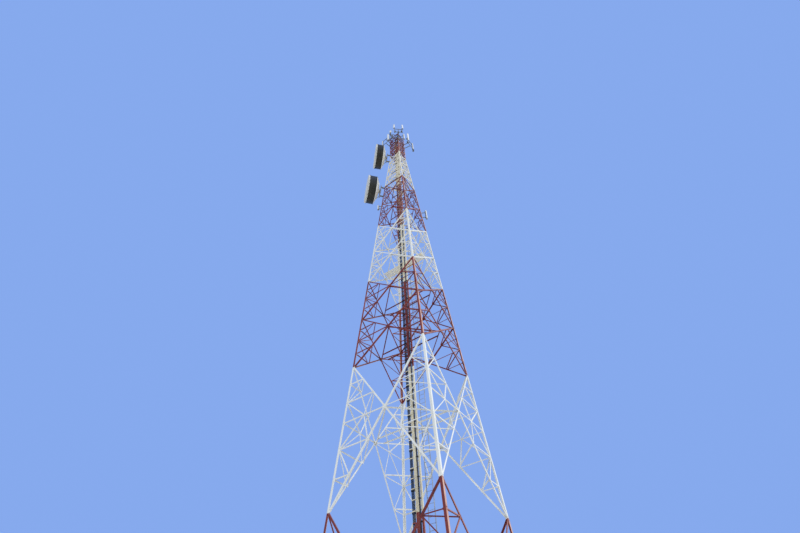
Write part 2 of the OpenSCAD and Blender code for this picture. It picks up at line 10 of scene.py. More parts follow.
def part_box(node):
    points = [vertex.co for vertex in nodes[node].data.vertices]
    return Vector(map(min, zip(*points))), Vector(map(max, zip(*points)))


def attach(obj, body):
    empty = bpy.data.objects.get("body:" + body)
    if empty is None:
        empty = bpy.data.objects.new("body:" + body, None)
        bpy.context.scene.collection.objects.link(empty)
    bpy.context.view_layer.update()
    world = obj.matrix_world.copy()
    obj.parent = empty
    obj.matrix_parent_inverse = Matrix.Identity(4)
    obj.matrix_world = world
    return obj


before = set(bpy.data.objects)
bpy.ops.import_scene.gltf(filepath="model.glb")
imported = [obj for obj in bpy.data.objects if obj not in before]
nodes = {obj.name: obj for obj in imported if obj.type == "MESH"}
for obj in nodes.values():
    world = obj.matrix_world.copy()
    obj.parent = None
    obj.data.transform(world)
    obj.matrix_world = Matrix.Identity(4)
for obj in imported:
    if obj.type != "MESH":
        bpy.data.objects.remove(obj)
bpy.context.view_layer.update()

# Driving sizes of the tower, in metres
TOWER_H, BASE_W, TOP_W = 30.0, 3.78, 0.75
LEG_W, UPPER_LEG_W, LEG_T = 0.066, 0.056, 0.008
DIAG_W, UPPER_DIAG_W, DIAG_T = 0.042, 0.036, 0.0045
SEAT = 0.0003
FOOT_Z, HEAD_GAP = 0.15, 0.03

# Paint bands, the panels in each, and the parts that short bars divide half a diagonal into
BANDS = 7
PANELS = (1, 1, 2, 2, 2, 4, 4)
PARTS = (3, 3, 2, 2, 2, 1, 1)
FACES = ("front", "right", "back", "left")

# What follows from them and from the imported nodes
plates_low, plates_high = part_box("base_plates")
AXIS_X = (plates_low.x + plates_high.x) / 2
AXIS_Y = (plates_low.y + plates_high.y) / 2
PLATE_TOP = plates_high.z
STEEL_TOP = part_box("leg_front_left")[1].z
BAND_H = TOWER_H / BANDS
BEND_Z = BAND_H * (BANDS - 1)
NARROW_Z = BAND_H * 4
LEAN = atan((BASE_W - TOP_W) / 2 / BEND_Z)
BRACE_Z = LEG_T + SEAT


def shift(x, y, z):
    return Matrix.Translation((x, y, z))


def spin(angle, axis):
    return Matrix.Rotation(angle, 4, axis)


def on_axis(x, y, z):
    """Matrix of a place given from the tower's own axis."""
    return shift(AXIS_X + x, AXIS_Y + y, z)


def between(a, b, share):
    return a + (b - a) * share


def face_w(z):
    """Width of the tower between the outer faces of two legs."""
    return between(BASE_W, TOP_W, z / BEND_Z) if z < BEND_Z else TOP_W


def half_run(z):
    """Distance from a face's middle to the middle of a leg's flange."""
    flange = LEG_W if z < NARROW_Z else UPPER_LEG_W
    return face_w(z) / 2 - flange / 2


def along(z):
    """Distance up the slope of a face to a height."""
    bend = BEND_Z / cos(LEAN)
    return z / cos(LEAN) if z <= BEND_Z else bend + z - BEND_Z


def node_pt(z, side):
    """Point of a face's plane, on the middle of a leg's flange at a height."""
    return Vector((side * half_run(z), along(z), 0))


def crossing_z(z1, z2):
    return between(z1, z2, half_run(z1) / (half_run(z1) + half_run(z2)))


def crossing_pt(z1, z2):
    """Point of a face's plane, where the two diagonals of a panel cross."""
    return Vector((0, along(crossing_z(z1, z2)), 0))


def band_z(band):
    return FOOT_Z if band == 0 else STEEL_TOP - HEAD_GAP if band == BANDS else band * BAND_H


def panels(band):
    """Lower and upper end of each panel in a band."""
    ends = [between(band_z(band), band_z(band + 1), j / PANELS[band]) for j in range(PANELS[band] + 1)]
    return list(zip(ends, ends[1:]))


def heel(corner, z):
    """A leg's outer corner; corner 0 is front right, and they go round to 3, front left."""
    turn = radians(90 * corner - 45)
    reach = face_w(z) / sqrt(2)
    return Vector((AXIS_X + reach * cos(turn), AXIS_Y + reach * sin(turn), z))


def from_heel(corner, z, az, out=0.0, up=0.0):
    """Matrix of a place out from a leg's corner, x pointing away from it."""
    return shift(*heel(corner, z)) @ spin(radians(az), "Z") @ shift(out, 0, up)


def face_frame(face, upright):
    """Matrix of a face's own plane, above the bend or below: x along it, y up the slope, z outwards."""
    width, lean = (TOP_W, 0) if upright else (BASE_W, LEAN)
    drop = BEND_Z - BEND_Z / cos(LEAN) if upright else 0
    turned = on_axis(0, 0, 0) @ spin(radians(90 * face), "Z")
    return turned @ shift(0, -width / 2, drop) @ spin(pi / 2 - lean, "X")


def put_in_scene(obj):
    bpy.context.scene.collection.objects.link(obj)


class Builder:
    """Collects simple solids in one mesh and turns them into an object or a piece."""

    def __init__(self):
        self.bm = bmesh.new()

    def skin(self, rings):
        """Faces between each ring of vertices and the next one."""
        for here, there in zip(rings, rings[1:]):
            for j in range(len(here)):
                k = (j + 1) % len(here)
                self.bm.faces.new((here[j], here[k], there[k], there[j]))

    def close_ends(self, rings):
        self.bm.faces.new(reversed(rings[0]))
        self.bm.faces.new(rings[-1])

    def prism(self, outline, height, at, lift=0.0):
        """A closed prism over an outline in the xy plane of the matrix at."""
        low = [self.bm.verts.new(at @ Vector((x, y, lift))) for x, y in outline]
        top = [self.bm.verts.new(at @ Vector((x, y, lift + height))) for x, y in outline]
        self.close_ends([low, top])
        self.skin([low, top])

    def box(self, size, at):
        x, y, z = (s / 2 for s in size)
        self.prism(((-x, -y), (x, -y), (x, y), (-x, y)), 2 * z, at, -z)

    def rod(self, radius, height, at, sides=12, lift=0.0):
        turns = [tau * i / sides for i in range(sides)]
        self.prism([(radius * cos(t), radius * sin(t)) for t in turns], height, at, lift)

    def hexagon(self, across, height, at, lift=0.0):
        self.rod(across / sqrt(3), height, at, 6, lift)

    def rod_between(self, start, end, radius, sides=12):
        lean = (end - start).to_track_quat("Z", "Y").to_matrix().to_4x4()
        self.rod(radius, (end - start).length, shift(*start) @ lean, sides)

    def lathe(self, outline, at, steps):
        """A closed outline of (radius, height) points turned round the z axis of the matrix at."""
        rings = []
        for i in range(steps):
            turn = at @ spin(tau * i / steps, "Z")
            rings.append([self.bm.verts.new(turn @ Vector((r, 0, h))) for r, h in outline])
        self.skin(rings + rings[:1])

    def sleeve(self, at, radius, low, high, thick, steps=20):
        """A ring with a small gap round something of a given radius."""
        inner, outer = radius + SEAT, radius + thick
        self.lathe(((inner, low), (outer, low), (outer, high), (inner, high)), at, steps)

    def tube(self, points, radius, sides):
        """A round tube with closed ends along a path of points."""
        rings, side = [], None
        for i, point in enumerate(points):
            ahead = (points[min(i + 1, len(points) - 1)] - points[max(i - 1, 0)]).normalized()
            side = ahead.orthogonal() if side is None else side - ahead * side.dot(ahead)
            side.normalize()
            other = ahead.cross(side)
            turns = [tau * j / sides for j in range(sides)]
            offsets = [radius * (side * cos(t) + other * sin(t)) for t in turns]
            rings.append([self.bm.verts.new(point + offset) for offset in offsets])
        self.skin(rings)
        self.close_ends(rings)

    def thing(self, name, material):
        """Turn what was collected into an object of the scene."""
        mesh = bpy.data.meshes.new(name)
        bmesh.ops.recalc_face_normals(self.bm, faces=self.bm.faces)
        self.bm.to_mesh(mesh)
        self.bm.free()
        mesh.materials.append(material)
        obj = bpy.data.objects.new(name, mesh)
        put_in_scene(obj)
        return obj

    def piece(self, name, material, slot, smooth=False):
        """Turn what was collected into a piece that is fixed to the tower."""
        obj = self.thing(name, material)
        if smooth:
            obj.data.shade_smooth()
            obj.data.set_sharp_from_angle(angle=radians(35))
        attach(obj, "root")


def curve(points):
    """Points of a smooth curve through the given ones."""
    steps = 6
    ends = [points[0] * 2 - points[1], *points, points[-1] * 2 - points[-2]]
    path = []
    for a, b, c, d in zip(ends, ends[1:], ends[2:], ends[3:]):
        for i in range(steps):
            t = i / steps
            square, cube = 2 * a - 5 * b + 4 * c - d, 3 * b - a - 3 * c + d
            path.append(0.5 * (2 * b + (c - a) * t + square * t ** 2 + cube * t ** 3))
    return path + [points[-1]]


def bar_matrix(start, end, inward):
    """x from start to end, z away from inward."""
    x = (end - start).normalized()
    z = (-inward + x * x.dot(inward)).normalized()
    y = z.cross(x)
    return shift(*start) @ Matrix((x, y, z)).transposed().to_4x4()


def angle_bar(build, start, end, inward, width, thick):
    """An angle bar between two points: one flange faces outwards, the other points inwards."""
    at = bar_matrix(start, end, inward) @ spin(pi / 2, "Y") @ spin(pi / 2, "Z")
    half = width / 2
    outline = [
        (-half, -width), (-half + thick, -width), (-half + thick, -thick),
        (half, -thick), (half, 0), (-half, 0),
    ]
    build.prism(outline, (end - start).length, at)


def feed(tree, socket, value):
    if isinstance(value, bpy.types.NodeSocket):
        tree.links.new(value, socket)
    else:
        socket.default_value = value


def add_node(tree, kind, *values, **settings):
    """A new shader node with settings, and with values or sockets on its inputs in order."""
    made = tree.nodes.new("ShaderNode" + kind)
    for key, value in settings.items():
        setattr(made, key, value)
    for socket, value in zip(made.inputs, values):
        feed(tree, socket, value)
    return made


class Shade:
    """Builds one procedural material, node by node; coordinates are metres in the tower's frame."""

    def __init__(self, name, roughness=0.5, metallic=0.0):
        self.mat = bpy.data.materials.new(name)
        self.mat.use_nodes = True
        self.tree = self.mat.node_tree
        self.tree.nodes.clear()
        self.bsdf = self.add("BsdfPrincipled")
        self.add("OutputMaterial", self.bsdf.outputs[0])
        self.bsdf.inputs["Roughness"].default_value = roughness
        self.bsdf.inputs["Metallic"].default_value = metallic
        self.coord = self.add("TexCoord").outputs["Object"]
        self.x, self.y, self.z = self.add("SeparateXYZ", self.coord).outputs
        self.normal = self.add("NewGeometry").outputs["Normal"]
        self.east, _, self.up = self.add("SeparateXYZ", self.normal).outputs

    def add(self, kind, *values, **settings):
        return add_node(self.tree, kind, *values, **settings)

    def math(self, operation, *values):
        return self.add("Math", *values, operation=operation).outputs[0]

    def times(self, a, b):
        return self.math("MULTIPLY", a, b)

    def remap(self, value, low, high, to_low=0.0, to_high=1.0):
        """A smooth step from to_low to to_high while the value goes from low to high."""
        numbers = (value, low, high, to_low, to_high)
        return self.add("MapRange", *numbers, interpolation_type="SMOOTHSTEP").outputs[0]

    def noise(self, scale, detail=3.0, rough=0.55, stretch=(1, 1, 1), offset=0.0):
        place = self.add("Mapping", self.coord, (offset, offset, offset), (0, 0, 0), stretch)
        made = self.add("TexNoise", place.outputs[0])
        for socket, value in (("Scale", scale), ("Detail", detail), ("Roughness", rough)):
            made.inputs[socket].default_value = value
        return made.outputs[0]

    def edges(self, width):
        """1 along sharp edges and 0 on open faces."""
        rounded = self.add("Bevel", width, samples=4).outputs[0]
        same = self.add("VectorMath", rounded, self.normal, operation="DOT_PRODUCT")
        return self.remap(same.outputs["Value"], 0.998, 0.92)

    def mix(self, share, a, b):
        """Colour a where the share is 0 and colour b where it is 1."""
        made = self.add("Mix", data_type="RGBA")
        feed(self.tree, made.inputs[0], share)
        for socket, colour in zip([s for s in made.inputs if s.type == "RGBA"], (a, b)):
            feed(self.tree, socket, (*colour, 1) if isinstance(colour, tuple) else colour)
        return [s for s in made.outputs if s.type == "RGBA"][0]

    def colour(self, value):
        feed(self.tree, self.bsdf.inputs["Base Color"], value)

    def roughness(self, value):
        feed(self.tree, self.bsdf.inputs["Roughness"], value)

    def bump(self, height, distance, strength=0.6):
        made = self.add("Bump", strength, distance)
        feed(self.tree, made.inputs["Height"], height)
        feed(self.tree, self.bsdf.inputs["Normal"], made.outputs[0])


# Colours of the paints, of what time has done to them, and of painted sunlight on red
RED, RED_FADED, RED_DARK = (0.19, 0.016, 0.017), (0.28, 0.045, 0.036), (0.08, 0.010, 0.011)
# The pale red next is painted sunlight for faces that look east, toward the key light, partly paint that
# the sun has faded
RED_SUNLIT_FADED = (0.72, 0.44, 0.36)
WHITE, WHITE_AGED, WHITE_DIRTY = (0.86, 0.88, 0.88), (0.79, 0.79, 0.74), (0.50, 0.49, 0.45)
WHITE_SUNNED = (0.88, 0.80, 0.62)
CREAM, CREAM_AGED = (0.87, 0.82, 0.65), (0.74, 0.65, 0.46)
DECK_CREAM, DECK_CREAM_AGED = (0.93, 0.87, 0.66), (0.84, 0.75, 0.52)
RUST, RUST_DARK, RUST_PALE = (0.16, 0.055, 0.022), (0.07, 0.028, 0.015), (0.56, 0.24, 0.13)
DUST, SPECK = (0.36, 0.32, 0.26), (0.2, 0.18, 0.15)

# Colours of bare metal, dishes, jackets and shells
ZINC, ZINC_DULL, ZINC_SPANGLE = (0.46, 0.48, 0.49), (0.28, 0.29, 0.29), (0.62, 0.64, 0.66)
ZINC_STREAK = (0.16, 0.15, 0.14)
SHROUD, SHROUD_AGED, SHROUD_RAIN = (0.016, 0.016, 0.011), (0.038, 0.035, 0.024), (0.075, 0.07, 0.055)
BOWL, BOWL_AGED, BOWL_RAIN = (0.80, 0.79, 0.75), (0.64, 0.62, 0.56), (0.24, 0.22, 0.18)
JACKET, JACKET_CHALKED, JACKET_RED = (0.012, 0.013, 0.018), (0.055, 0.058, 0.07), (0.30, 0.09, 0.055)

# How far the bands' edges waver, in band heights, how wide an edge is rubbed, and the jackets'
# ridges in radians a metre
BAND_WAVER, RUBBED_EDGE, RIDGES = 0.012, 0.003, 900.0

# Coats: their other numbers are noise scales and detail, ends of ramps, and shares from 0 to 1


def red_coat(s, patch, streak, sunlit_fade):
    """Red paint, faded in patches and streaked, and paler on faces that look east: painted sunlight from
    the key light's side, partly paint that the sun has faded.
    """
    red = s.mix(patch, RED, RED_FADED)
    red = s.mix(s.times(streak, 0.55), red, RED_DARK)
    # Painted sunlight: the red turns paler on faces that look east, toward the key light, partly as paint
    # that the sun has faded
    painted_sunlight = s.remap(s.east, 0.7, 0.98, 0.0, sunlit_fade)
    uneven = s.remap(s.noise(2.6, 5, offset=33), 0.3, 0.6, 0.45, 1.0)
    return s.mix(s.times(painted_sunlight, uneven), red, RED_SUNLIT_FADED)


def thin_coat(s, red, under, share):
    """Red paint through which another colour shows above the fourth band."""
    worn = s.remap(s.noise(9, 4, stretch=(1, 1, 0.3), offset=14), 0.3, 0.6, 0.4 * share, share)
    high = s.remap(s.z, NARROW_Z - 0.02, NARROW_Z + 0.02)
    return s.mix(s.times(worn, high), red, under)


def white_coat(s, patch, streak, white, aged, wear):
    """White paint, aged in patches, yellower further up, and streaked with dirt."""
    pale = s.mix(s.times(patch, 0.6), white, aged)
    pale = s.mix(s.remap(s.z, 2.8 * BAND_H, 5.2 * BAND_H, 0.0, 0.55), pale, WHITE_SUNNED)
    return s.mix(s.times(streak, 0.22 * wear), pale, WHITE_DIRTY)


def white_share(s):
    """0 in the red bands and 1 in the white ones, with a slightly wavering edge."""
    waver = s.math("MULTIPLY_ADD", s.noise(22, 2), BAND_WAVER, -0.5 - BAND_WAVER / 2)
    level = s.math("ADD", s.math("DIVIDE", s.z, BAND_H), waver)
    return s.remap(s.math("PINGPONG", level, 1.0), 0.499, 0.501)


def rust_share(s):
    """1 where the paint has chipped off, or is rubbed off along an edge."""
    chips = s.remap(s.noise(24, 6, 0.7, offset=12), 0.665, 0.70)
    rubbed = s.times(s.edges(RUBBED_EDGE), s.remap(s.noise(13, 5, 0.65, offset=17), 0.46, 0.6))
    return s.math("MAXIMUM", chips, s.times(rubbed, 0.85))


def paint(name, bands, white=WHITE, aged=WHITE_AGED, wear=1.0, thin_red=0.0, sunlit_fade=0.4):
    """Old brushed paint on steel. bands: "red", "white", or "both" by height.
    thin_red is the share of pale paint that shows through the red above the fourth band,
    sunlit_fade how much paler the red is on faces that look east: painted sunlight from the key light's
    side, partly paint that the sun has faded."""
    s = Shade(name)
    s.bsdf.inputs["Specular IOR Level"].default_value = 0.3
    patch = s.remap(s.noise(0.9, 4, offset=3), 0.36, 0.66)
    streak = s.remap(s.noise(7, 4, stretch=(1, 1, 0.1), offset=9), 0.5, 0.72)
    if bands != "white":
        base = red_coat(s, patch, streak, sunlit_fade)
        if thin_red:
            base = thin_coat(s, base, s.mix(patch, aged, RUST_PALE), thin_red)
    if bands != "red":
        pale = white_coat(s, patch, streak, white, aged, wear)
        base = pale if bands == "white" else s.mix(white_share(s), base, pale)
    mottle = s.noise(38, 3, offset=1)
    brush = s.noise(110, 2, stretch=(1, 1, 0.3))
    base = s.mix(s.remap(mottle, 0.35, 0.75, 0.0, 0.05), base, DUST)
    base = s.mix(s.remap(brush, 0.4, 0.7, 0.0, 0.08), base, DUST)
    settled = s.remap(s.noise(5, 3, offset=5), 0.3, 0.7, 0.05, 0.35)
    base = s.mix(s.times(s.remap(s.up, 0.35, 0.95), settled), base, DUST)
    runs = s.remap(s.noise(16, 5, 0.65, stretch=(1, 1, 0.22), offset=21), 0.58, 0.76)
    base = s.mix(s.times(runs, 0.38 * wear), base, RUST)
    rust = rust_share(s)
    s.colour(s.mix(rust, base, s.mix(s.noise(90, 2), RUST, RUST_DARK)))
    s.roughness(s.math("MAXIMUM", s.remap(mottle, 0.3, 0.7, 0.48, 0.64), s.times(rust, 0.85)))
    s.bump(s.math("SUBTRACT", s.times(brush, 0.35), rust), 0.0012)
    return s.mat


def zinc(name, light=ZINC, dull=ZINC_DULL, rusty=0.0):
    """Weathered hot-dip zinc: spangle, dull patches, dark streaks and rust spots."""
    s = Shade(name, metallic=0.35)
    cells = s.add("TexVoronoi", s.coord, feature="F1")
    cells.inputs["Scale"].default_value = 85
    spangle = s.add("SeparateColor", cells.outputs["Color"]).outputs[0]
    base = s.mix(s.remap(s.noise(6, 4, offset=2), 0.35, 0.7), light, dull)
    base = s.mix(s.remap(spangle, 0, 1, 0.0, 0.22), base, ZINC_SPANGLE)
    streak = s.remap(s.noise(18, 4, stretch=(1, 1, 0.15), offset=7), 0.52, 0.72, 0.0, 0.5)
    base = s.mix(streak, base, ZINC_STREAK)
    spots = s.remap(s.noise(30, 6, 0.7, offset=4), 0.66 - 0.08 * rusty, 0.72 - 0.06 * rusty)
    s.colour(s.mix(spots, base, RUST))
    s.roughness(s.remap(s.noise(45, 3), 0.3, 0.7, 0.42, 0.66))
    s.bump(s.noise(140, 3), 0.0005, 0.5)
    return s.mat


def shell(name, colour, stained, roughness=0.5, streaks=0.4):
    """Moulded or sprayed outdoor shell with rain streaks and a fine grain."""
    s = Shade(name, roughness)
    base = s.mix(s.remap(s.noise(3.5, 3, offset=6), 0.35, 0.7, 0.0, 0.55), colour, stained)
    rain = s.remap(s.noise(26, 4, stretch=(1, 1, 0.07), offset=2), 0.5, 0.75, 0.0, streaks)
    base = s.mix(rain, base, tuple(0.45 * c for c in stained))
    specks = s.remap(s.noise(120, 2, 0.6, offset=8), 0.68, 0.76, 0.0, 0.6)
    s.colour(s.mix(specks, base, SPECK))
    s.roughness(s.remap(s.noise(60, 2), 0.3, 0.7, roughness - 0.06, roughness + 0.12))
    s.bump(s.noise(260, 2), 0.0004, 0.4)
    return s.mat


def dish_coat(name, z, az):
    """Dark shroud in front, pale reflector and hub behind: split by the distance along the dish's axis."""
    s = Shade(name)
    ahead = Vector((cos(radians(az)), sin(radians(az)), 0))
    reach = s.math("ADD", s.times(s.x, ahead.x), s.times(s.y, ahead.y))
    reach = s.math("SUBTRACT", reach, heel(3, z).dot(ahead))
    front = s.remap(reach, DISH_FRONT - SHROUD_L - 0.004, DISH_FRONT - SHROUD_L + 0.004)
    patch = s.remap(s.noise(3, 4, offset=z), 0.35, 0.7)
    rain = s.remap(s.noise(14, 4, stretch=(1, 1, 0.2), offset=5), 0.48, 0.75)
    dark = s.mix(patch, SHROUD, SHROUD_AGED)
    dark = s.mix(s.times(rain, 0.4), dark, SHROUD_RAIN)
    pale = s.mix(patch, BOWL, BOWL_AGED)
    pale = s.mix(s.times(rain, 0.45), pale, BOWL_RAIN)
    specks = s.remap(s.noise(80, 3, 0.65), 0.66, 0.74, 0.0, 0.7)
    s.colour(s.mix(specks, s.mix(front, pale, dark), RUST_DARK))
    s.roughness(s.remap(s.noise(40, 3), 0.3, 0.7, 0.44, 0.62))
    s.bump(s.noise(150, 3), 0.0006, 0.5)
    return s.mat


def jacket(name, painted_above=None):
    """Black cable jacket, chalked by the sun in patches and painted over above a height:
    rusty red in the first band there, and cream further up."""
    s = Shade(name)
    chalk = s.remap(s.noise(5, 4, stretch=(1, 1, 0.4)), 0.42, 0.72, 0.0, 0.75)
    base = s.mix(chalk, JACKET, JACKET_CHALKED)
    if painted_above is not None:
        cream_z = painted_above + BAND_H
        coat = s.mix(s.remap(s.z, cream_z - 0.03, cream_z), JACKET_RED, CREAM_AGED)
        ragged = s.remap(s.noise(12, 4, stretch=(1, 1, 0.15), offset=4), 0.3, 0.45, 0.0, 0.85)
        high = s.remap(s.z, painted_above - 0.05, painted_above + 0.05)
        base = s.mix(s.times(ragged, high), base, coat)
    s.colour(base)
    s.roughness(s.remap(s.noise(30, 3), 0.3, 0.7, 0.32, 0.5))
    s.bump(s.math("SINE", s.times(s.z, RIDGES)), 0.0006, 0.5)
    return s.mat


# Dishes: directions, front and depth of the shroud, depth of the bowl, pipe and mount
UPPER_DISH_AZ, LOWER_DISH_AZ, DISH_FRONT, SHROUD_L = 226.0, 229.0, 1.005, 0.48
UPPER_DISH_Z = sum(p.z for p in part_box("upper_radome")) / 2
LOWER_DISH_Z = sum(p.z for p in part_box("lower_radome")) / 2
DISH_R, BOWL_L, DISH_T, HUB_R = 0.78, 0.17, 0.008, 0.13
MAST_OUT, MAST_R, MAST_L = 0.21, 0.0285, 1.4
LEG_TILT = atan(sqrt(2) * tan(LEAN))

banded_paint = paint("banded_paint", "both")
# The legs get the most painted sunlight on their faces that look east
leg_paint = paint("leg_paint", "both", sunlit_fade=1.0)
red_paint = paint("red_paint", "red")
white_paint = paint("white_paint", "white")
ladder_paint = paint("ladder_paint", "both", CREAM, CREAM_AGED, 1.4, 0.6)
bolt_paint = paint("bolt_paint", "both", wear=2.0)
platform_paint = paint("platform_paint", "white", DECK_CREAM, DECK_CREAM_AGED, 0.6)
steel = zinc("galvanised_steel")
bolt_zinc = zinc("bolt_zinc", (0.50, 0.51, 0.50), (0.30, 0.29, 0.27), 0.5)
# Darker copy of the zinc for frames, brackets, clamps and dish mounts: painted shade of parts that are
# seen from below
shaded_dark_steel = zinc("shaded_dark_steel", (0.23, 0.24, 0.26), (0.12, 0.125, 0.135))
cable_jacket = jacket("cable_jacket")
feeder_jacket = jacket("feeder_jacket", NARROW_Z)
upper_dish_coat = dish_coat("upper_dish_coat", UPPER_DISH_Z, UPPER_DISH_AZ)
lower_dish_coat = dish_coat("lower_dish_coat", LOWER_DISH_Z, LOWER_DISH_AZ)
radome_sheet = shell("radome_sheet", (0.66, 0.66, 0.63), (0.52, 0.50, 0.45))
antenna_shell = shell("antenna_shell", (0.83, 0.85, 0.85), (0.72, 0.72, 0.69), 0.42)
cap_grey = shell("cap_grey", (0.50, 0.51, 0.50), (0.36, 0.36, 0.34))
radio_housing = shell("radio_housing", (0.15, 0.155, 0.165), (0.10, 0.10, 0.10), streaks=0.5)


def dress(material, *names):
    for name in names:
        nodes[name].data.materials.clear()
        nodes[name].data.materials.append(material)


for name in nodes:
    if name.startswith("leg_"):
        dress(leg_paint, name)
    elif name.startswith("plan_bracing") or name.endswith(("bracing_4", "bracing_top")):
        dress(banded_paint, name)
    elif name.endswith(("bracing_1", "bracing_3")):
        dress(red_paint, name)
    elif name.endswith("bracing_2"):
        dress(white_paint, name)
dress(ladder_paint, "cable_ladder", "painted_cables")
dress(platform_paint, "platform")
dress(steel, "base_plates", "ladder_beams", "climbing_ladder")
dress(shaded_dark_steel, "upper_dish_mount", "lower_dish_mount", "sector_frames", "side_brackets")
dress(feeder_jacket, "feeder_cables")
dress(upper_dish_coat, "upper_dish")
dress(lower_dish_coat, "lower_dish")
dress(radome_sheet, "upper_radome", "lower_radome")
dress(antenna_shell, "sector_antennas", "side_antennas")
dress(radio_housing, "radio_units")

# Bolts: widths across flats, washer, head, chamfer, nut, and the end that stands out of the nut
BOLT_AF, SMALL_BOLT_AF = 0.015, 0.012
WASHER_R, WASHER_T = 0.0105, 0.0016
BOLT_HEAD_T, CHAMFER_T, CHAMFER_SHARE = 0.0062, 0.0009, 0.45
NUT_T, BOLT_END_R, BOLT_END_L = 0.0065, 0.0045, 0.0045

# Rows of bolts: steps along a leg, from the ends of a diagonal, its crossing and its short bars
LARGE_ROW, SMALL_ROW, BAND_CLEAR = (-0.045, -0.015, 0.015, 0.045), (-0.028, 0.028), 0.012
DIAG_END_ROW, CROSS_BOLT, SHORT_BAR_BOLT = (0.075, 0.105), 0.05, 0.016
NUT_Z = -(BRACE_Z + DIAG_T)

# Splices of the legs, and the plates that cover them
SPLICES = (NARROW_Z, BEND_Z)
COVER_L, COVER_T, COVER_EDGE, COVER_GAP, COVER_CLEAR = 0.125, 0.006, 0.012, 0.001, 0.008
COVER_BOLTS = (0.018, 0.045)


def hex_bolt(build, at, across=BOLT_AF, washer=WASHER_R):
    """Washer and chamfered hexagon head, standing on the xy plane of the matrix at."""
    build.rod(washer, WASHER_T, at)
    build.hexagon(across, BOLT_HEAD_T, at, WASHER_T)
    build.rod(across * CHAMFER_SHARE, CHAMFER_T, at, 6, WASHER_T + BOLT_HEAD_T)


def nut_end(build, at, across):
    """Nut with the end of the bolt showing."""
    build.hexagon(across, NUT_T, at)
    build.rod(BOLT_END_R, BOLT_END_L, at, 8, NUT_T)


def bolt_pair(build, plane, point, outer, across=BOLT_AF):
    """A bolt through the face's steel: head outside, nut inside."""
    hex_bolt(build, plane @ shift(point.x, point.y, outer), across)
    nut_end(build, plane @ shift(point.x, point.y, NUT_Z) @ spin(pi, "X"), across)


def leg_rows(band):
    """Heights at which a face's bars meet a leg, with True where a large plate sits."""
    rows = {}
    parts = PARTS[band]
    for z1, z2 in panels(band):
        middle = crossing_z(z1, z2)
        rows[z1] = rows[z2] = True
        if parts > 1:
            rows.setdefault(middle, False)
            for z in (z1, z2):
                for i in range(1, parts):
                    rows.setdefault(between(z, middle, i / parts), False)
    return rows


def near_splice(z):
    return any(abs(z - splice) < COVER_L + COVER_CLEAR for splice in SPLICES)


def leg_bolts(build, plane, band):
    """Bolts through the plates along both legs of a face."""
    low, high = band_z(band) + BAND_CLEAR, band_z(band + 1) - BAND_CLEAR
    for z, large in leg_rows(band).items():
        for side in (-1, 1):
            for step in LARGE_ROW if large else SMALL_ROW:
                if low < z + step < high:
                    outer = COVER_T + SEAT if near_splice(z + step) else 0
                    bolt_pair(build, plane, node_pt(z + step, side), outer)


def diagonal_bolts(build, plane, band):
    """Bolts at the ends and the crossing of the diagonals, and where short bars meet them."""
    parts = PARTS[band]
    for z1, z2 in panels(band):
        centre = crossing_pt(z1, z2)
        for side in (-1, 1):
            for z in (z1, z2):
                end = node_pt(z, side)
                run = (centre - end).normalized()
                for reach in DIAG_END_ROW:
                    bolt_pair(build, plane, end + run * reach, -BRACE_Z)
                bolt_pair(build, plane, centre - run * CROSS_BOLT, -BRACE_Z)
                for i in range(1, parts):
                    spot = between(end, centre, i / parts)
                    for step in (-SHORT_BAR_BOLT, SHORT_BAR_BOLT):
                        bolt_pair(build, plane, spot + run * step, -BRACE_Z, SMALL_BOLT_AF)


BAND_GROUPS = {"lower": (0, 1), "middle": (2, 3, 4), "upper": (5, 6)}
for face, face_name in enumerate(FACES):
    for group, bands in BAND_GROUPS.items():
        build = Builder()
        for band in bands:
            plane = face_frame(face, band == BANDS - 1)
            leg_bolts(build, plane, band)
            diagonal_bolts(build, plane, band)
        build.piece(f"bolts_{face_name}_{group}", bolt_paint, "banded_paint")

# Short level bars round the legs: angle section, and the small plates that they sit on
HIP_W, HIP_T = 0.028, 0.003
HIP_PLATE_W, HIP_PLATE_T = 0.05, 0.004


def hip_bar(build, corner, spot, deep):
    """A level bar between points of the two faces at a corner, on a small plate at each end."""
    ends = []
    for face, side in ((corner, 1), (corner + 1, -1)):
        plane = face_frame(face, False)
        plate = Vector((side * spot.x, spot.y, -deep))
        build.box((HIP_PLATE_W, HIP_PLATE_W, HIP_PLATE_T), plane @ shift(*plate))
        ends.append(plane @ (plate - Vector((0, 0, HIP_PLATE_T + HIP_W / 2))))
    angle_bar(build, ends[0], ends[1], Vector((0, 0, 1)), HIP_W, HIP_T)


def hip_bars(build, bands):
    """Level bars that tie the diagonals of two neighbouring faces round each leg."""
    for band in bands:
        diagonal_w = DIAG_W if band < 4 else UPPER_DIAG_W
        deep = BRACE_Z + diagonal_w + SEAT + HIP_PLATE_T
        for z1, z2 in panels(band):
            for z in (z1, z2):
                for i in range(1, PARTS[band]):
                    spot = between(node_pt(z, 1), crossing_pt(z1, z2), i / PARTS[band])
                    for corner in range(4):
                        hip_bar(build, corner, spot, deep)


for group, bands in (("lower", (0, 1)), ("upper", (2, 3, 4))):
    build = Builder()
    hip_bars(build, bands)
    build.piece(f"hip_bracing_{group}", banded_paint, "banded_paint")


def splice_covers():
    """Cover plates on the legs' outer faces where two lengths of a leg meet."""
    plates, bolts = Builder(), Builder()
    for splice in SPLICES:
        for step in (-1, 1):
            z = splice + step * (COVER_L + COVER_GAP) / 2
            upright = z > BEND_Z
            lean = 0 if upright else LEAN
            for face in range(4):
                for side in (-1, 1):
                    spot = shift(side * (face_w(z) - UPPER_LEG_W) / 2, along(z), SEAT + COVER_T / 2)
                    at = face_frame(face, upright) @ spot @ spin(side * lean, "Z")
                    plates.box((UPPER_LEG_W - COVER_EDGE, COVER_L, COVER_T), at)
                    for y in COVER_BOLTS:
                        hex_bolt(bolts, at @ shift(0, step * y, COVER_T / 2))
    plates.piece("splice_covers", banded_paint, "banded_paint")
    bolts.piece("splice_bolts", bolt_paint, "banded_paint")


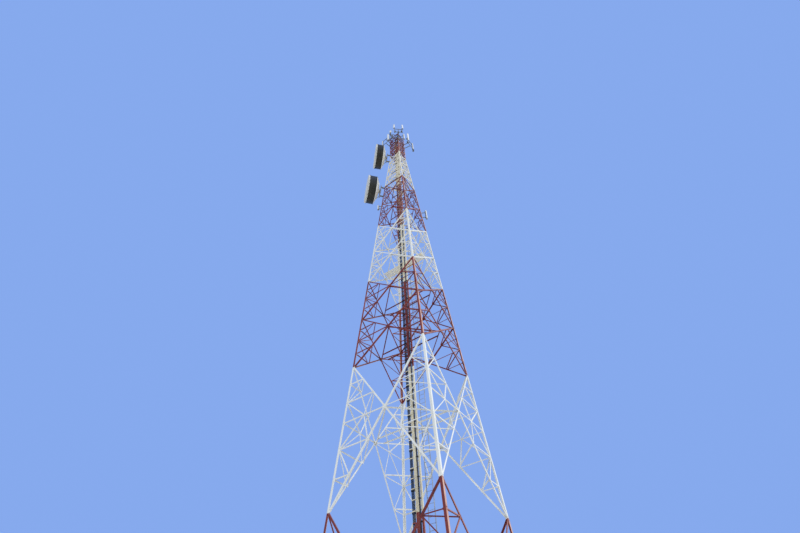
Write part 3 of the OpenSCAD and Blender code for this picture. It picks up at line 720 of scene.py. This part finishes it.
# Anchor rods: place of the holes, washer, nut, lock nut and rod
FOOT_IN, ANCHOR_HALF_PITCH = 0.034, 0.09
ANCHOR_WASHER_R, ANCHOR_WASHER_T = 0.021, 0.003
ANCHOR_NUT_R, ANCHOR_NUT_T = 0.018, 0.016
LOCK_NUT_T, LOCK_NUT_GAP, LOCK_NUT_TURN = 0.009, 0.0005, 0.4
ANCHOR_R, ANCHOR_SUNK, ANCHOR_ABOVE = 0.0098, 0.018, 0.044


def anchor_rod(build, at):
    """A rod in a hole of a base plate, with washer, nut and lock nut."""
    nut_top = ANCHOR_WASHER_T + ANCHOR_NUT_T
    build.rod(ANCHOR_WASHER_R, ANCHOR_WASHER_T, at, 20)
    build.rod(ANCHOR_NUT_R, ANCHOR_NUT_T, at, 6, ANCHOR_WASHER_T)
    build.rod(ANCHOR_NUT_R, LOCK_NUT_T, at @ spin(LOCK_NUT_TURN, "Z"), 6, nut_top + LOCK_NUT_GAP)
    build.rod(ANCHOR_R, ANCHOR_SUNK + ANCHOR_ABOVE, at, 14, -ANCHOR_SUNK)


def anchor_rods():
    build = Builder()
    middle, pitch = BASE_W / 2 - FOOT_IN, ANCHOR_HALF_PITCH
    rows = (-middle - pitch, -middle + pitch, middle - pitch, middle + pitch)
    for x in rows:
        for y in rows:
            anchor_rod(build, on_axis(x, y, PLATE_TOP))
    build.piece("anchor_rods", bolt_zinc, "galvanised_steel")


splice_covers()
anchor_rods()

# Cable ladder: front planes, edges, rails and rungs, given from the tower's axis
LADDER_Y, CABLES_Y = -0.243, -0.2433
CABLE_LEFT, CABLE_RIGHT, LEFT_RAIL_W, RIGHT_RAIL_W = 0.0325, 0.2475, 0.035, 0.056
LADDER_FOOT, LADDER_TOP = 0.3, STEEL_TOP - 0.3
FIRST_RUNG, RUNG_PITCH, RUNG_H = 0.147, 0.2575, 0.03

# Cables: diameters, pitches, how much lower each next one ends, and their middles
FEEDER_D, WAVEGUIDE_D, BLACK_PITCH, PAINTED_PITCH, TOP_STEP = 0.025, 0.040, 0.033, 0.0265, 0.4
BLACK_X = [CABLE_LEFT - BLACK_PITCH * i + FEEDER_D / 2 for i in (1, 2, 3)]
PAINTED_X = [CABLE_LEFT + LEFT_RAIL_W + PAINTED_PITCH * i - FEEDER_D / 2 for i in (1, 2, 3)]

# Straps: thickness, spans across the ladder, heights, widths of their end blocks, and how far
# below the end of what they hold the last one sits at least
STRAP_T = 0.003
BLACK_SPAN = (BLACK_X[2] - 0.0165, CABLE_LEFT - 0.002)
PAINTED_SPAN = (CABLE_LEFT + 0.0335, CABLE_LEFT + 0.117)
WAVEGUIDE_SPAN = (CABLE_LEFT + 0.1152, CABLE_RIGHT - RIGHT_RAIL_W + 0.014)
BLACK_STRAP_H, STRAP_H, CABLE_END_CLEAR, WAVEGUIDE_END_CLEAR = 0.024, 0.022, 0.05, 0.1
BLACK_ENDS, PAINTED_ENDS, WAVEGUIDE_ENDS = (0.003, 0.003), (0.002, 0.002), (0.0018, 0.0128)

# Moulded blocks and rail bolts
BLOCK_HALF_D, BLOCK_SIDE, BLOCK_H, BLOCK_BELOW = 0.0175, 0.016, 0.042, 0.002
RAIL_BOLT_AF, RAIL_WASHER_R = 0.013, 0.0095


def strap(build, span, z, deep, tall, ends, closed=False):
    """A flat strap in front of cables, on a block at each end; closed adds a bar behind them."""
    x1, x2 = span
    left, right = ends
    front = CABLES_Y - deep - SEAT
    build.box((x2 - x1, STRAP_T, tall), on_axis((x1 + x2) / 2, front - STRAP_T / 2, z))
    for x, wide in ((x1 + left / 2, left), (x2 - right / 2, right)):
        build.box((wide, LADDER_Y - front, tall), on_axis(x, (front + LADDER_Y) / 2, z))
    if closed:
        build.box((x2 - x1, STRAP_T, tall), on_axis((x1 + x2) / 2, LADDER_Y + STRAP_T / 2, z))


def cable_block(build, top, front):
    """Half of a moulded block round the black cables, scalloped where they pass."""
    grip = FEEDER_D / 2 + SEAT
    middle = CABLES_Y - FEEDER_D / 2
    sign = -1 if front else 1
    far = middle + sign * BLOCK_HALF_D
    right, left = BLACK_X[0] + BLOCK_SIDE, BLACK_X[2] - BLOCK_SIDE
    outline = [(right, middle), (right, far), (left, far), (left, middle)]
    for x in reversed(BLACK_X):
        turns = [pi * i / 8 for i in range(9)]
        outline += [(x - grip * cos(t), middle + sign * grip * sin(t)) for t in turns]
    build.prism(outline, BLOCK_H, on_axis(0, 0, top - BLOCK_H))


def ladder_fittings():
    """Straps, blocks and bolts at the rungs, up to where the cables that they hold end."""
    straps, clamps = Builder(), Builder()
    upright = spin(pi / 2, "X")
    rungs = int((LADDER_TOP - RUNG_H - LADDER_FOOT - FIRST_RUNG) / RUNG_PITCH) + 1
    for i in range(rungs):
        low = LADDER_FOOT + FIRST_RUNG + RUNG_PITCH * i
        z = low + RUNG_H / 2
        odd = i % 2 == 1
        if z < LADDER_TOP - 3 * TOP_STEP - CABLE_END_CLEAR:
            strap(straps, BLACK_SPAN, z, FEEDER_D, BLACK_STRAP_H, BLACK_ENDS, not odd)
            if odd:
                for front in (True, False):
                    cable_block(clamps, low - BLOCK_BELOW, front)
        if odd and z < LADDER_TOP - 4 * TOP_STEP - CABLE_END_CLEAR:
            strap(straps, PAINTED_SPAN, z, FEEDER_D, STRAP_H, PAINTED_ENDS)
        if not odd and z < UPPER_DISH_Z - WAVEGUIDE_END_CLEAR:
            strap(clamps, WAVEGUIDE_SPAN, z, WAVEGUIDE_D, STRAP_H, WAVEGUIDE_ENDS)
        for x in (CABLE_LEFT + LEFT_RAIL_W / 2, CABLE_RIGHT - RIGHT_RAIL_W / 2):
            hex_bolt(straps, on_axis(x, LADDER_Y, z) @ upright, RAIL_BOLT_AF, RAIL_WASHER_R)
    straps.piece("cable_straps", ladder_paint, "ladder_paint")
    clamps.piece("cable_clamps", cable_jacket, "cable_jacket")


ladder_fittings()

# Dish shells: rings as (behind the front, width), clips, ribs and the ring that joins the ribs
RINGS, RING_T, RING_STEPS = ((SHROUD_L - 0.012, 0.024), (0.30, 0.018), (0.108, 0.02)), 0.010, 128
CLIPS, CLIP_SIZE, CLIP_BEHIND = 24, (0.009, 0.022, 0.05), 0.088
RIBS, RIB_T, RIB_POINTS = 8, 0.006, 12
RIB_IN, RIB_OUT, RIB_DEEP_IN, RIB_DEEP_OUT, RIB_GAP = 0.095, DISH_R - 0.03, 0.058, 0.018, 0.001
BACK_RING_IN, BACK_RING_OUT, BACK_RING_DEEP, BACK_RING_STEPS = 0.435, 0.462, 0.048, 96

# Dish clamps, from the pipe's middle: plate, clamp bars with rods and nuts, collar, struts, caps
HUB_PLATE, FRONT_GAP, BACK_GAP = (0.012, 0.21, 0.30), 0.0015, 0.0005
CLAMP_BAR, CLAMP_Z, CLAMP_Y, CLAMP_ROD_R = (0.010, 0.13, 0.032), 0.115, 0.05, 0.006
CLAMP_ROD_BACK, CLAMP_ROD_FRONT, CLAMP_NUT_R, CLAMP_NUT_T = -0.052, MAST_R + 0.026, 0.011, 0.009
COLLAR_LOW, COLLAR_HIGH, COLLAR_T = -0.45, -0.39, 0.009
STRUT_REACH, STRUT_Y, STRUT_Z, STRUT_BEHIND, STRUT_R = 0.45, 0.389, -0.225, 0.028, 0.011
STRUT_FOOT, STRUT_LUG, STRUT_LUG_OUT = (0.03, 0.012, 0.05), (0.03, 0.016, 0.04), 0.014
STRUT_PIPE_Z, STRUT_END_OUT = -0.42, 0.016
PIPE_CAP_OVER, PIPE_CAP_T = 0.0025, 0.005
ARM_Z, ARM_TOP, ARM_BOLT_X, ARM_BOLT_Y = 0.5, 0.007, (0.075, 0.125), 0.03
ARM_BOLT_AF, ARM_WASHER_R = 0.018, 0.0125


def bowl_back(radius):
    """Where the back of the reflector lies along the dish's axis."""
    return DISH_FRONT - SHROUD_L - BOWL_L * (1 - (max(radius, HUB_R) / DISH_R) ** 2) - DISH_T


def dish_rings(name, axis, coat):
    """Rings and clips round the shroud."""
    build = Builder()
    for behind, wide in RINGS:
        middle = DISH_FRONT - behind
        build.sleeve(axis, DISH_R, middle - wide / 2, middle + wide / 2, RING_T, RING_STEPS)
    for i in range(CLIPS):
        turn = axis @ spin(tau * (i + 0.5) / CLIPS, "Z")
        build.box(CLIP_SIZE, turn @ shift(DISH_R + RING_T, 0, DISH_FRONT - CLIP_BEHIND))
    build.piece(f"{name}_rings", coat, "dish_paint")


def dish_ribs(name, axis, coat):
    """Ribs behind the reflector, and the ring that joins them."""
    build = Builder()
    shares = [k / RIB_POINTS for k in range(RIB_POINTS + 1)]
    radii = [between(RIB_IN, RIB_OUT, share) for share in shares]
    near = [(r, bowl_back(r) - RIB_GAP) for r in radii]
    depths = [between(RIB_DEEP_IN, RIB_DEEP_OUT, share) for share in shares]
    far = [(r, bowl_back(r) - deep) for r, deep in zip(radii, depths)]
    for i in range(RIBS):
        turn = axis @ spin(tau * (i + 0.5) / RIBS, "Z") @ spin(pi / 2, "X")
        build.prism(far + near[::-1], RIB_T, turn, -RIB_T / 2)
    low = bowl_back(BACK_RING_IN) - BACK_RING_DEEP
    high = [(r, bowl_back(r) - RIB_GAP) for r in (BACK_RING_OUT, BACK_RING_IN)]
    build.lathe([(BACK_RING_IN, low), (BACK_RING_OUT, low), *high], axis, BACK_RING_STEPS)
    build.piece(f"{name}_ribs", coat, "dish_paint")


def pipe_clamps(build, pipe):
    """A plate on the front of the pipe, and two bars behind it, held by rods and nuts."""
    front, back = MAST_R + FRONT_GAP, -MAST_R - BACK_GAP
    build.box(HUB_PLATE, pipe @ shift(front + HUB_PLATE[0] / 2, 0, 0))
    for z in (-CLAMP_Z, CLAMP_Z):
        build.box(CLAMP_BAR, pipe @ shift(back - CLAMP_BAR[0] / 2, 0, z))
        for y in (-CLAMP_Y, CLAMP_Y):
            ends = [pipe @ Vector((x, y, z)) for x in (CLAMP_ROD_BACK, CLAMP_ROD_FRONT)]
            build.rod_between(*ends, CLAMP_ROD_R, 10)
            for x, way in ((front + HUB_PLATE[0], 1), (back - CLAMP_BAR[0], -1)):
                build.rod(CLAMP_NUT_R, CLAMP_NUT_T, pipe @ shift(x, y, z) @ spin(way * pi / 2, "Y"), 6)


def dish_struts(build, place, pipe):
    """A collar on the pipe, and two struts from it to the back of the dish."""
    build.sleeve(pipe, MAST_R, COLLAR_LOW, COLLAR_HIGH, COLLAR_T)
    behind = bowl_back(STRUT_REACH) - STRUT_BEHIND
    for side in (-1, 1):
        start = place @ shift(behind, side * STRUT_Y, STRUT_Z)
        end = pipe @ Vector((0, side * (MAST_R + STRUT_END_OUT), STRUT_PIPE_Z))
        build.rod_between(start.translation, end, STRUT_R)
        build.box(STRUT_FOOT, start)
        build.box(STRUT_LUG, pipe @ shift(0, side * (MAST_R + STRUT_LUG_OUT), STRUT_PIPE_Z))


def dish_clamps(name, place):
    """What holds a dish to its pipe, the pipe's caps, and the bolts on the arms to the leg."""
    build = Builder()
    pipe = place @ shift(MAST_OUT, 0, 0) @ spin(-LEG_TILT, "Y")
    pipe_clamps(build, pipe)
    dish_struts(build, place, pipe)
    for end in (-MAST_L / 2, MAST_L / 2):
        build.rod(MAST_R + PIPE_CAP_OVER, PIPE_CAP_T, pipe @ shift(0, 0, end - PIPE_CAP_T / 2), 24)
    for z in (-ARM_Z, ARM_Z):
        for x in ARM_BOLT_X:
            for y in (-ARM_BOLT_Y, ARM_BOLT_Y):
                hex_bolt(build, place @ shift(x, y, z + ARM_TOP), ARM_BOLT_AF, ARM_WASHER_R)
    build.piece(f"{name}_clamps", shaded_dark_steel, "galvanised_steel")


def dish_details(name, z, az, coat):
    place = from_heel(3, z, az)
    axis = place @ spin(pi / 2, "Y")
    dish_rings(name, axis, coat)
    dish_ribs(name, axis, coat)
    dish_clamps(name, place)


dish_details("upper_dish", UPPER_DISH_Z, UPPER_DISH_AZ, upper_dish_coat)
dish_details("lower_dish", LOWER_DISH_Z, LOWER_DISH_AZ, lower_dish_coat)

# Antennas: pipes of the head as (leg, direction, distance, lower end), heights from the legs' top
PIPE_R, PANEL_W, PANEL_D = 0.019, 0.120, 0.060
RADIO_H, RADIO_W, RADIO_D = 0.2, 0.11, 0.07
HEAD_PIPES = (
    (0, -6, 0.400, -0.72), (0, 267, 0.410, -0.72), (0, 24, 0.365, -1.475), (1, -19, 0.450, -1.42),
    (1, 35, 0.545, -1.95), (3, 292, 0.400, -1.47), (3, 225, 0.480, -1.85), (3, 313, 0.460, -0.40),
    (0, 223, 0.400, -1.20),
)

# Pairs of pipes and single pipes with the heights of their two arms
HEAD_SECTORS = ((0, 1, -0.10, -0.65), (3, 4, -0.70, -1.35), (5, 6, -0.70, -1.40))
HEAD_SINGLES = ((2, -0.80, -1.25), (7, -0.08, -0.33), (8, -0.50, -1.00))

# Antennas as (pipe, middle, height) and radios as (pipe, middle, 1 in front or -1 behind)
HEAD_ANTENNAS = (
    (0, 0.35, 0.7), (1, 0.3, 0.65), (2, -1.0, 0.85), (3, -0.3, 1.2),
    (4, -1.1, 1.05), (5, -0.8, 1.0), (6, -1.3, 1.0), (7, 0.05, 0.35),
)
HEAD_RADIOS = (
    (0, -0.375, -1), (1, -0.5, -1), (3, -0.45, -1), (3, -1.05, -1), (4, -1.77, 1),
    (5, -1.05, -1), (7, -0.205, -1), (8, -0.74, 1), (8, -1.06, 1),
)

# Antennas lower down as (leg, direction, distance, raised by, height, width, depth)
SIDE_Z = TOWER_H - 11.3
SIDE_ANTENNAS = ((1, 31, 0.200, 0.0, 0.75, 0.125, 0.060), (3, 215, 0.120, 0.25, 0.40, 0.100, 0.050))

# Antenna caps with chamfered corners, and clamps on the pipe: back bar, front lugs and rods
CAP_H, CAP_OVER, CAP_ON, CORNER_SHARE = 0.012, 0.0015, 0.010, 0.3
BRACKET_SHARE, BRACKET_BAR, BRACKET_LUG = 0.36, (0.007, 0.074, 0.026), (0.016, 0.016, 0.030)
BRACKET_Y, BRACKET_LUG_X, BRACKET_ROD_R = 0.028, PIPE_R - 0.0078, 0.0035
BRACKET_ROD_BACK, BRACKET_ROD_FRONT = -0.038, PIPE_R - 0.010

# Connectors below antennas and radios, with the lengths of nut and barrel, and the radios' fins
CONNECTOR_NUT_R, CONNECTOR_R, CONNECTOR_SHARES = 0.0075, 0.0055, (0.14, 0.34)
ANTENNA_PORT, RADIO_PORT, RADIO_PORT_Y, RADIO_PORT_IN = (0.014, 0.022), (0.012, 0.020), 0.03, 0.03
FINS, FIN_SIZE, FIN_OUT, FIN_EDGE = 9, (0.012, 0.003, RADIO_H - 0.02), 0.0058, 0.008

# Plates and bolts where an arm meets a leg, rings where it holds a pipe, and the pipes' end caps
SHOE_H, SHOE_T, SHOE_BOLT_X, SHOE_BOLT_Y = 0.11, 0.006, 0.008, 0.04
CLAMP_STEP, CLAMP_HALF, CLAMP_T = 0.028, 0.009, 0.006
END_CAP_OVER, END_CAP_T = 0.0015, 0.004


def pipe_at(number, z=0.0):
    """Matrix on an antenna pipe, x pointing away from its leg."""
    corner, az, out, _ = HEAD_PIPES[number]
    return from_heel(corner, STEEL_TOP, az, out, z)


def shell_outline(width, depth, grow):
    """Outline of an antenna's body with chamfered corners, a little larger by grow."""
    c, w = depth * CORNER_SHARE, width / 2 + grow
    return (
        (0, c / 2 - w), (c / 2, -w), (depth - c, -w), (depth + grow, c - w),
        (depth + grow, w - c), (depth - c, w), (c / 2, w), (0, w - c / 2),
    )


def connector(build, top, lengths):
    """A cable connector that hangs from a point: a nut and a barrel."""
    for length, radius, sides in zip(lengths, (CONNECTOR_NUT_R, CONNECTOR_R), (6, 10)):
        build.rod_between(top, top - Vector((0, 0, length)), radius, sides)


def antenna_fittings(caps, metal, at, height, width, depth):
    """End caps, pipe clamps and connectors of one antenna."""
    body = at @ shift(PIPE_R + SEAT, 0, 0)
    low = CAP_ON - CAP_H - height / 2
    for lift in (height / 2 - CAP_ON, low):
        caps.prism(shell_outline(width, depth, CAP_OVER), CAP_H, body, lift)
    for z in (-BRACKET_SHARE * height, BRACKET_SHARE * height):
        metal.box(BRACKET_BAR, at @ shift(-PIPE_R - BRACKET_BAR[0] / 2 - SEAT, 0, z))
        for y in (-BRACKET_Y, BRACKET_Y):
            metal.box(BRACKET_LUG, at @ shift(BRACKET_LUG_X, y, z))
            back, front = Vector((BRACKET_ROD_BACK, y, z)), Vector((BRACKET_ROD_FRONT, y, z))
            metal.rod_between(at @ back, at @ front, BRACKET_ROD_R, 8)
    for side in (-1, 1):
        for share in CONNECTOR_SHARES:
            connector(metal, body @ Vector((depth / 2, side * width * share, low)), ANTENNA_PORT)


def radio_fittings(build, at, side):
    """Cooling fins on a radio's outer side and connectors below it."""
    front = side * (PIPE_R + SEAT + RADIO_D)
    edge = RADIO_W / 2 - FIN_EDGE
    for i in range(FINS):
        build.box(FIN_SIZE, at @ shift(front + side * FIN_OUT, between(-edge, edge, i / (FINS - 1)), 0))
    for y in (-RADIO_PORT_Y, 0.0, RADIO_PORT_Y):
        connector(build, at @ Vector((front - side * RADIO_PORT_IN, y, -RADIO_H / 2)), RADIO_PORT)


def leg_shoe(build, corner, z):
    """Bolted plates on both outer faces of a leg, behind the end of an arm."""
    for face, side in ((corner, 1), (corner + 1, -1)):
        spot = shift(side * (TOP_W - UPPER_LEG_W) / 2, along(z), SEAT + SHOE_T / 2)
        at = face_frame(face, True) @ spot
        build.box((UPPER_LEG_W, SHOE_H, SHOE_T), at)
        for y in (-SHOE_BOLT_Y, SHOE_BOLT_Y):
            hex_bolt(build, at @ shift(-side * SHOE_BOLT_X, y, SHOE_T / 2))


def arms():
    """Pipes of each arm's mount and the heights of its upper and lower arm."""
    return [(m[:2], m[2:]) for m in HEAD_SECTORS] + [(m[:1], m[1:]) for m in HEAD_SINGLES]


def head_fittings():
    caps, metal, clamps, fins = Builder(), Builder(), Builder(), Builder()
    for number, z, height in HEAD_ANTENNAS:
        antenna_fittings(caps, metal, pipe_at(number, z), height, PANEL_W, PANEL_D)
    for corner, az, out, up, height, width, depth in SIDE_ANTENNAS:
        antenna_fittings(caps, metal, from_heel(corner, SIDE_Z + up, az, out), height, width, depth)
    for number, z, side in HEAD_RADIOS:
        radio_fittings(fins, pipe_at(number, z), side)
    for pipes, heights in arms():
        for z in heights:
            leg_shoe(clamps, HEAD_PIPES[pipes[0]][0], STEEL_TOP + z)
            for number in pipes:
                for step in (-CLAMP_STEP, CLAMP_STEP):
                    clamps.sleeve(pipe_at(number, z + step), PIPE_R, -CLAMP_HALF, CLAMP_HALF, CLAMP_T)
    for number, (_, _, _, low) in enumerate(HEAD_PIPES):
        clamps.rod(PIPE_R + END_CAP_OVER, END_CAP_T, pipe_at(number, low - END_CAP_T / 2), 20)
    caps.piece("antenna_caps", cap_grey, "antenna_shell")
    metal.piece("antenna_brackets", shaded_dark_steel, "galvanised_steel")
    clamps.piece("head_clamps", shaded_dark_steel, "galvanised_steel")
    fins.piece("radio_fins", radio_housing, "radio_housing")


# Feeders' upper ends: radius, height over an arm, and places from a leg's heel or the arm's middle
TAIL_R, TAIL_OVER_ARM, TAIL_OVER_WAY = 0.0105, 0.032, 0.01
TAIL_INSIDE, TAIL_GATE, TAIL_ON_ARM, TAIL_END = (0.16, 0.09), (0.10, -0.022), 0.09, 0.05
TAIL_BELOW, TAIL_ABOVE = 0.04, 0.06

# Plugs on them: where the sleeve and the nut begin and end along the feeder, and their radii
PLUG_BACK, PLUG_MIDDLE, PLUG_TIP, PLUG_R, PLUG_NUT_R = -0.012, 0.018, 0.034, 0.0125, 0.0095


def tail_points(x, top, pipes, arm_z):
    """Way of a feeder: up from its end on the ladder, out beside a leg and along an arm."""
    start = Vector((AXIS_X + x, AXIS_Y + CABLES_Y - FEEDER_D / 2, top))
    leg = heel(HEAD_PIPES[pipes[0]][0], STEEL_TOP)
    goal = sum((pipe_at(number).translation for number in pipes), Vector()) / len(pipes)
    z = STEEL_TOP + arm_z + TAIL_OVER_ARM
    out = (goal - leg).to_2d().normalized()
    side_x, side_y = copysign(1, leg.x - AXIS_X), copysign(1, leg.y - AXIS_Y)
    inside, gate = (
        Vector((leg.x - side_x * x_in, leg.y - side_y * y_in, z + TAIL_OVER_WAY))
        for x_in, y_in in (TAIL_INSIDE, TAIL_GATE)
    )
    on_arm = Vector((leg.x + out.x * TAIL_ON_ARM, leg.y + out.y * TAIL_ON_ARM, z))
    end = Vector((goal.x - out.x * TAIL_END, goal.y - out.y * TAIL_END, z))
    below, above = start - Vector((0, 0, TAIL_BELOW)), start + Vector((0, 0, TAIL_ABOVE))
    return [below, above, (start + inside) / 2, inside, gate, on_arm, end]


def feeder_tails():
    """The feeders go on from the ladder's top, and each ends in a connector on an arm."""
    tails, connectors = Builder(), Builder()
    tops = [(x, LADDER_TOP - TOP_STEP * (i + 1)) for i, x in enumerate(BLACK_X)]
    tops += [(x, LADDER_TOP - TOP_STEP * (i + 2)) for i, x in enumerate(PAINTED_X)]
    for (x, top), (pipes, heights) in zip(tops, arms()):
        points = tail_points(x, top, pipes, heights[-1])
        tails.tube(curve(points), TAIL_R, 10)
        end, tip = points[-1], (points[-1] - points[-2]).normalized()
        back, middle, front = (end + tip * reach for reach in (PLUG_BACK, PLUG_MIDDLE, PLUG_TIP))
        connectors.rod_between(back, middle, PLUG_R, 16)
        connectors.rod_between(middle, front, PLUG_NUT_R, 6)
    tails.piece("feeder_tails", cable_jacket, "cable_jacket", True)
    connectors.piece("feeder_connectors", steel, "galvanised_steel")


head_fittings()
feeder_tails()

# Stage: pale floor and sky, soft key light from the right, camera where the photographer stood
CAM_AT = Vector((AXIS_X + 5.904, AXIS_Y - 9.309, 0.628))
CAM_YAW, CAM_PITCH, CAM_ROLL = 33.49, 50.85, -2.756
FOCAL_PX, FRAME_PX, SENSOR = 393.10, 800, 36.0
FLOOR_W, FLOOR_T, FLOOR_MID = 900, 0.02, -0.0105
FLOOR_BOUNCED, FLOOR_SEEN, FLOOR_GRAIN = (0.60, 0.61, 0.61), (0.38, 0.38, 0.37), 0.96
SKY_LIGHT, SKY_LIGHT_STRENGTH, SKY_SEEN = (0.90, 0.95, 1.0), 0.96, (0.24, 0.40, 0.85)
KEY_STRENGTH, KEY_SPREAD, KEY_FROM, KEY_COLOUR = 1.3, 10, (1.0, 0.05, 0.95), (1.0, 0.98, 0.95)


def seen_rays(tree):
    """1 for the rays that show a surface to the camera, straight, mirrored or through glass."""
    path = add_node(tree, "LightPath").outputs
    shown = path["Is Camera Ray"]
    for kind in ("Is Glossy Ray", "Is Transmission Ray"):
        shown = add_node(tree, "Math", shown, path[kind], operation="MAXIMUM").outputs[0]
    return shown


def floor_coat():
    """A pale floor that the camera sees a little deeper than the light that it throws back."""
    s = Shade("floor_pale", 0.9)
    cloudy = s.remap(s.noise(0.35, 3), 0.3, 0.7)
    shown = s.mix(cloudy, FLOOR_SEEN, tuple(c * FLOOR_GRAIN for c in FLOOR_SEEN))
    s.colour(s.mix(seen_rays(s.tree), FLOOR_BOUNCED, shown))
    return s.mat


def floor():
    build = Builder()
    build.box((FLOOR_W, FLOOR_W, FLOOR_T), on_axis(0, 0, FLOOR_MID))
    build.thing("floor", floor_coat())


def sky():
    """Even light from all round, behind a sky of its own colour."""
    world = bpy.data.worlds.new("sky")
    bpy.context.scene.world = world
    world.use_nodes = True
    tree = world.node_tree
    tree.nodes.clear()
    light = add_node(tree, "Background", (*SKY_LIGHT, 1), SKY_LIGHT_STRENGTH)
    seen = add_node(tree, "Background", (*SKY_SEEN, 1), 1.0)
    both = add_node(tree, "MixShader", seen_rays(tree), light.outputs[0], seen.outputs[0])
    add_node(tree, "OutputWorld", both.outputs[0])


def key_light():
    lamp = bpy.data.lights.new("key", "SUN")
    lamp.energy = KEY_STRENGTH
    lamp.angle = radians(KEY_SPREAD)
    lamp.color = KEY_COLOUR
    obj = bpy.data.objects.new("key", lamp)
    obj.rotation_euler = Vector(KEY_FROM).to_track_quat("Z", "Y").to_euler()
    put_in_scene(obj)


def camera():
    data = bpy.data.cameras.new("camera")
    data.sensor_width = SENSOR
    data.lens = FOCAL_PX / FRAME_PX * SENSOR
    data.clip_end = 2000
    obj = bpy.data.objects.new("camera", data)
    yaw, pitch, roll = (radians(turn) for turn in (CAM_YAW, CAM_PITCH, CAM_ROLL))
    obj.matrix_world = shift(*CAM_AT) @ spin(yaw, "Z") @ spin(pi / 2 + pitch, "X") @ spin(roll, "Z")
    put_in_scene(obj)
    bpy.context.scene.camera = obj


floor()
sky()
key_light()
camera()
bpy.context.scene.view_settings.view_transform = "Standard"
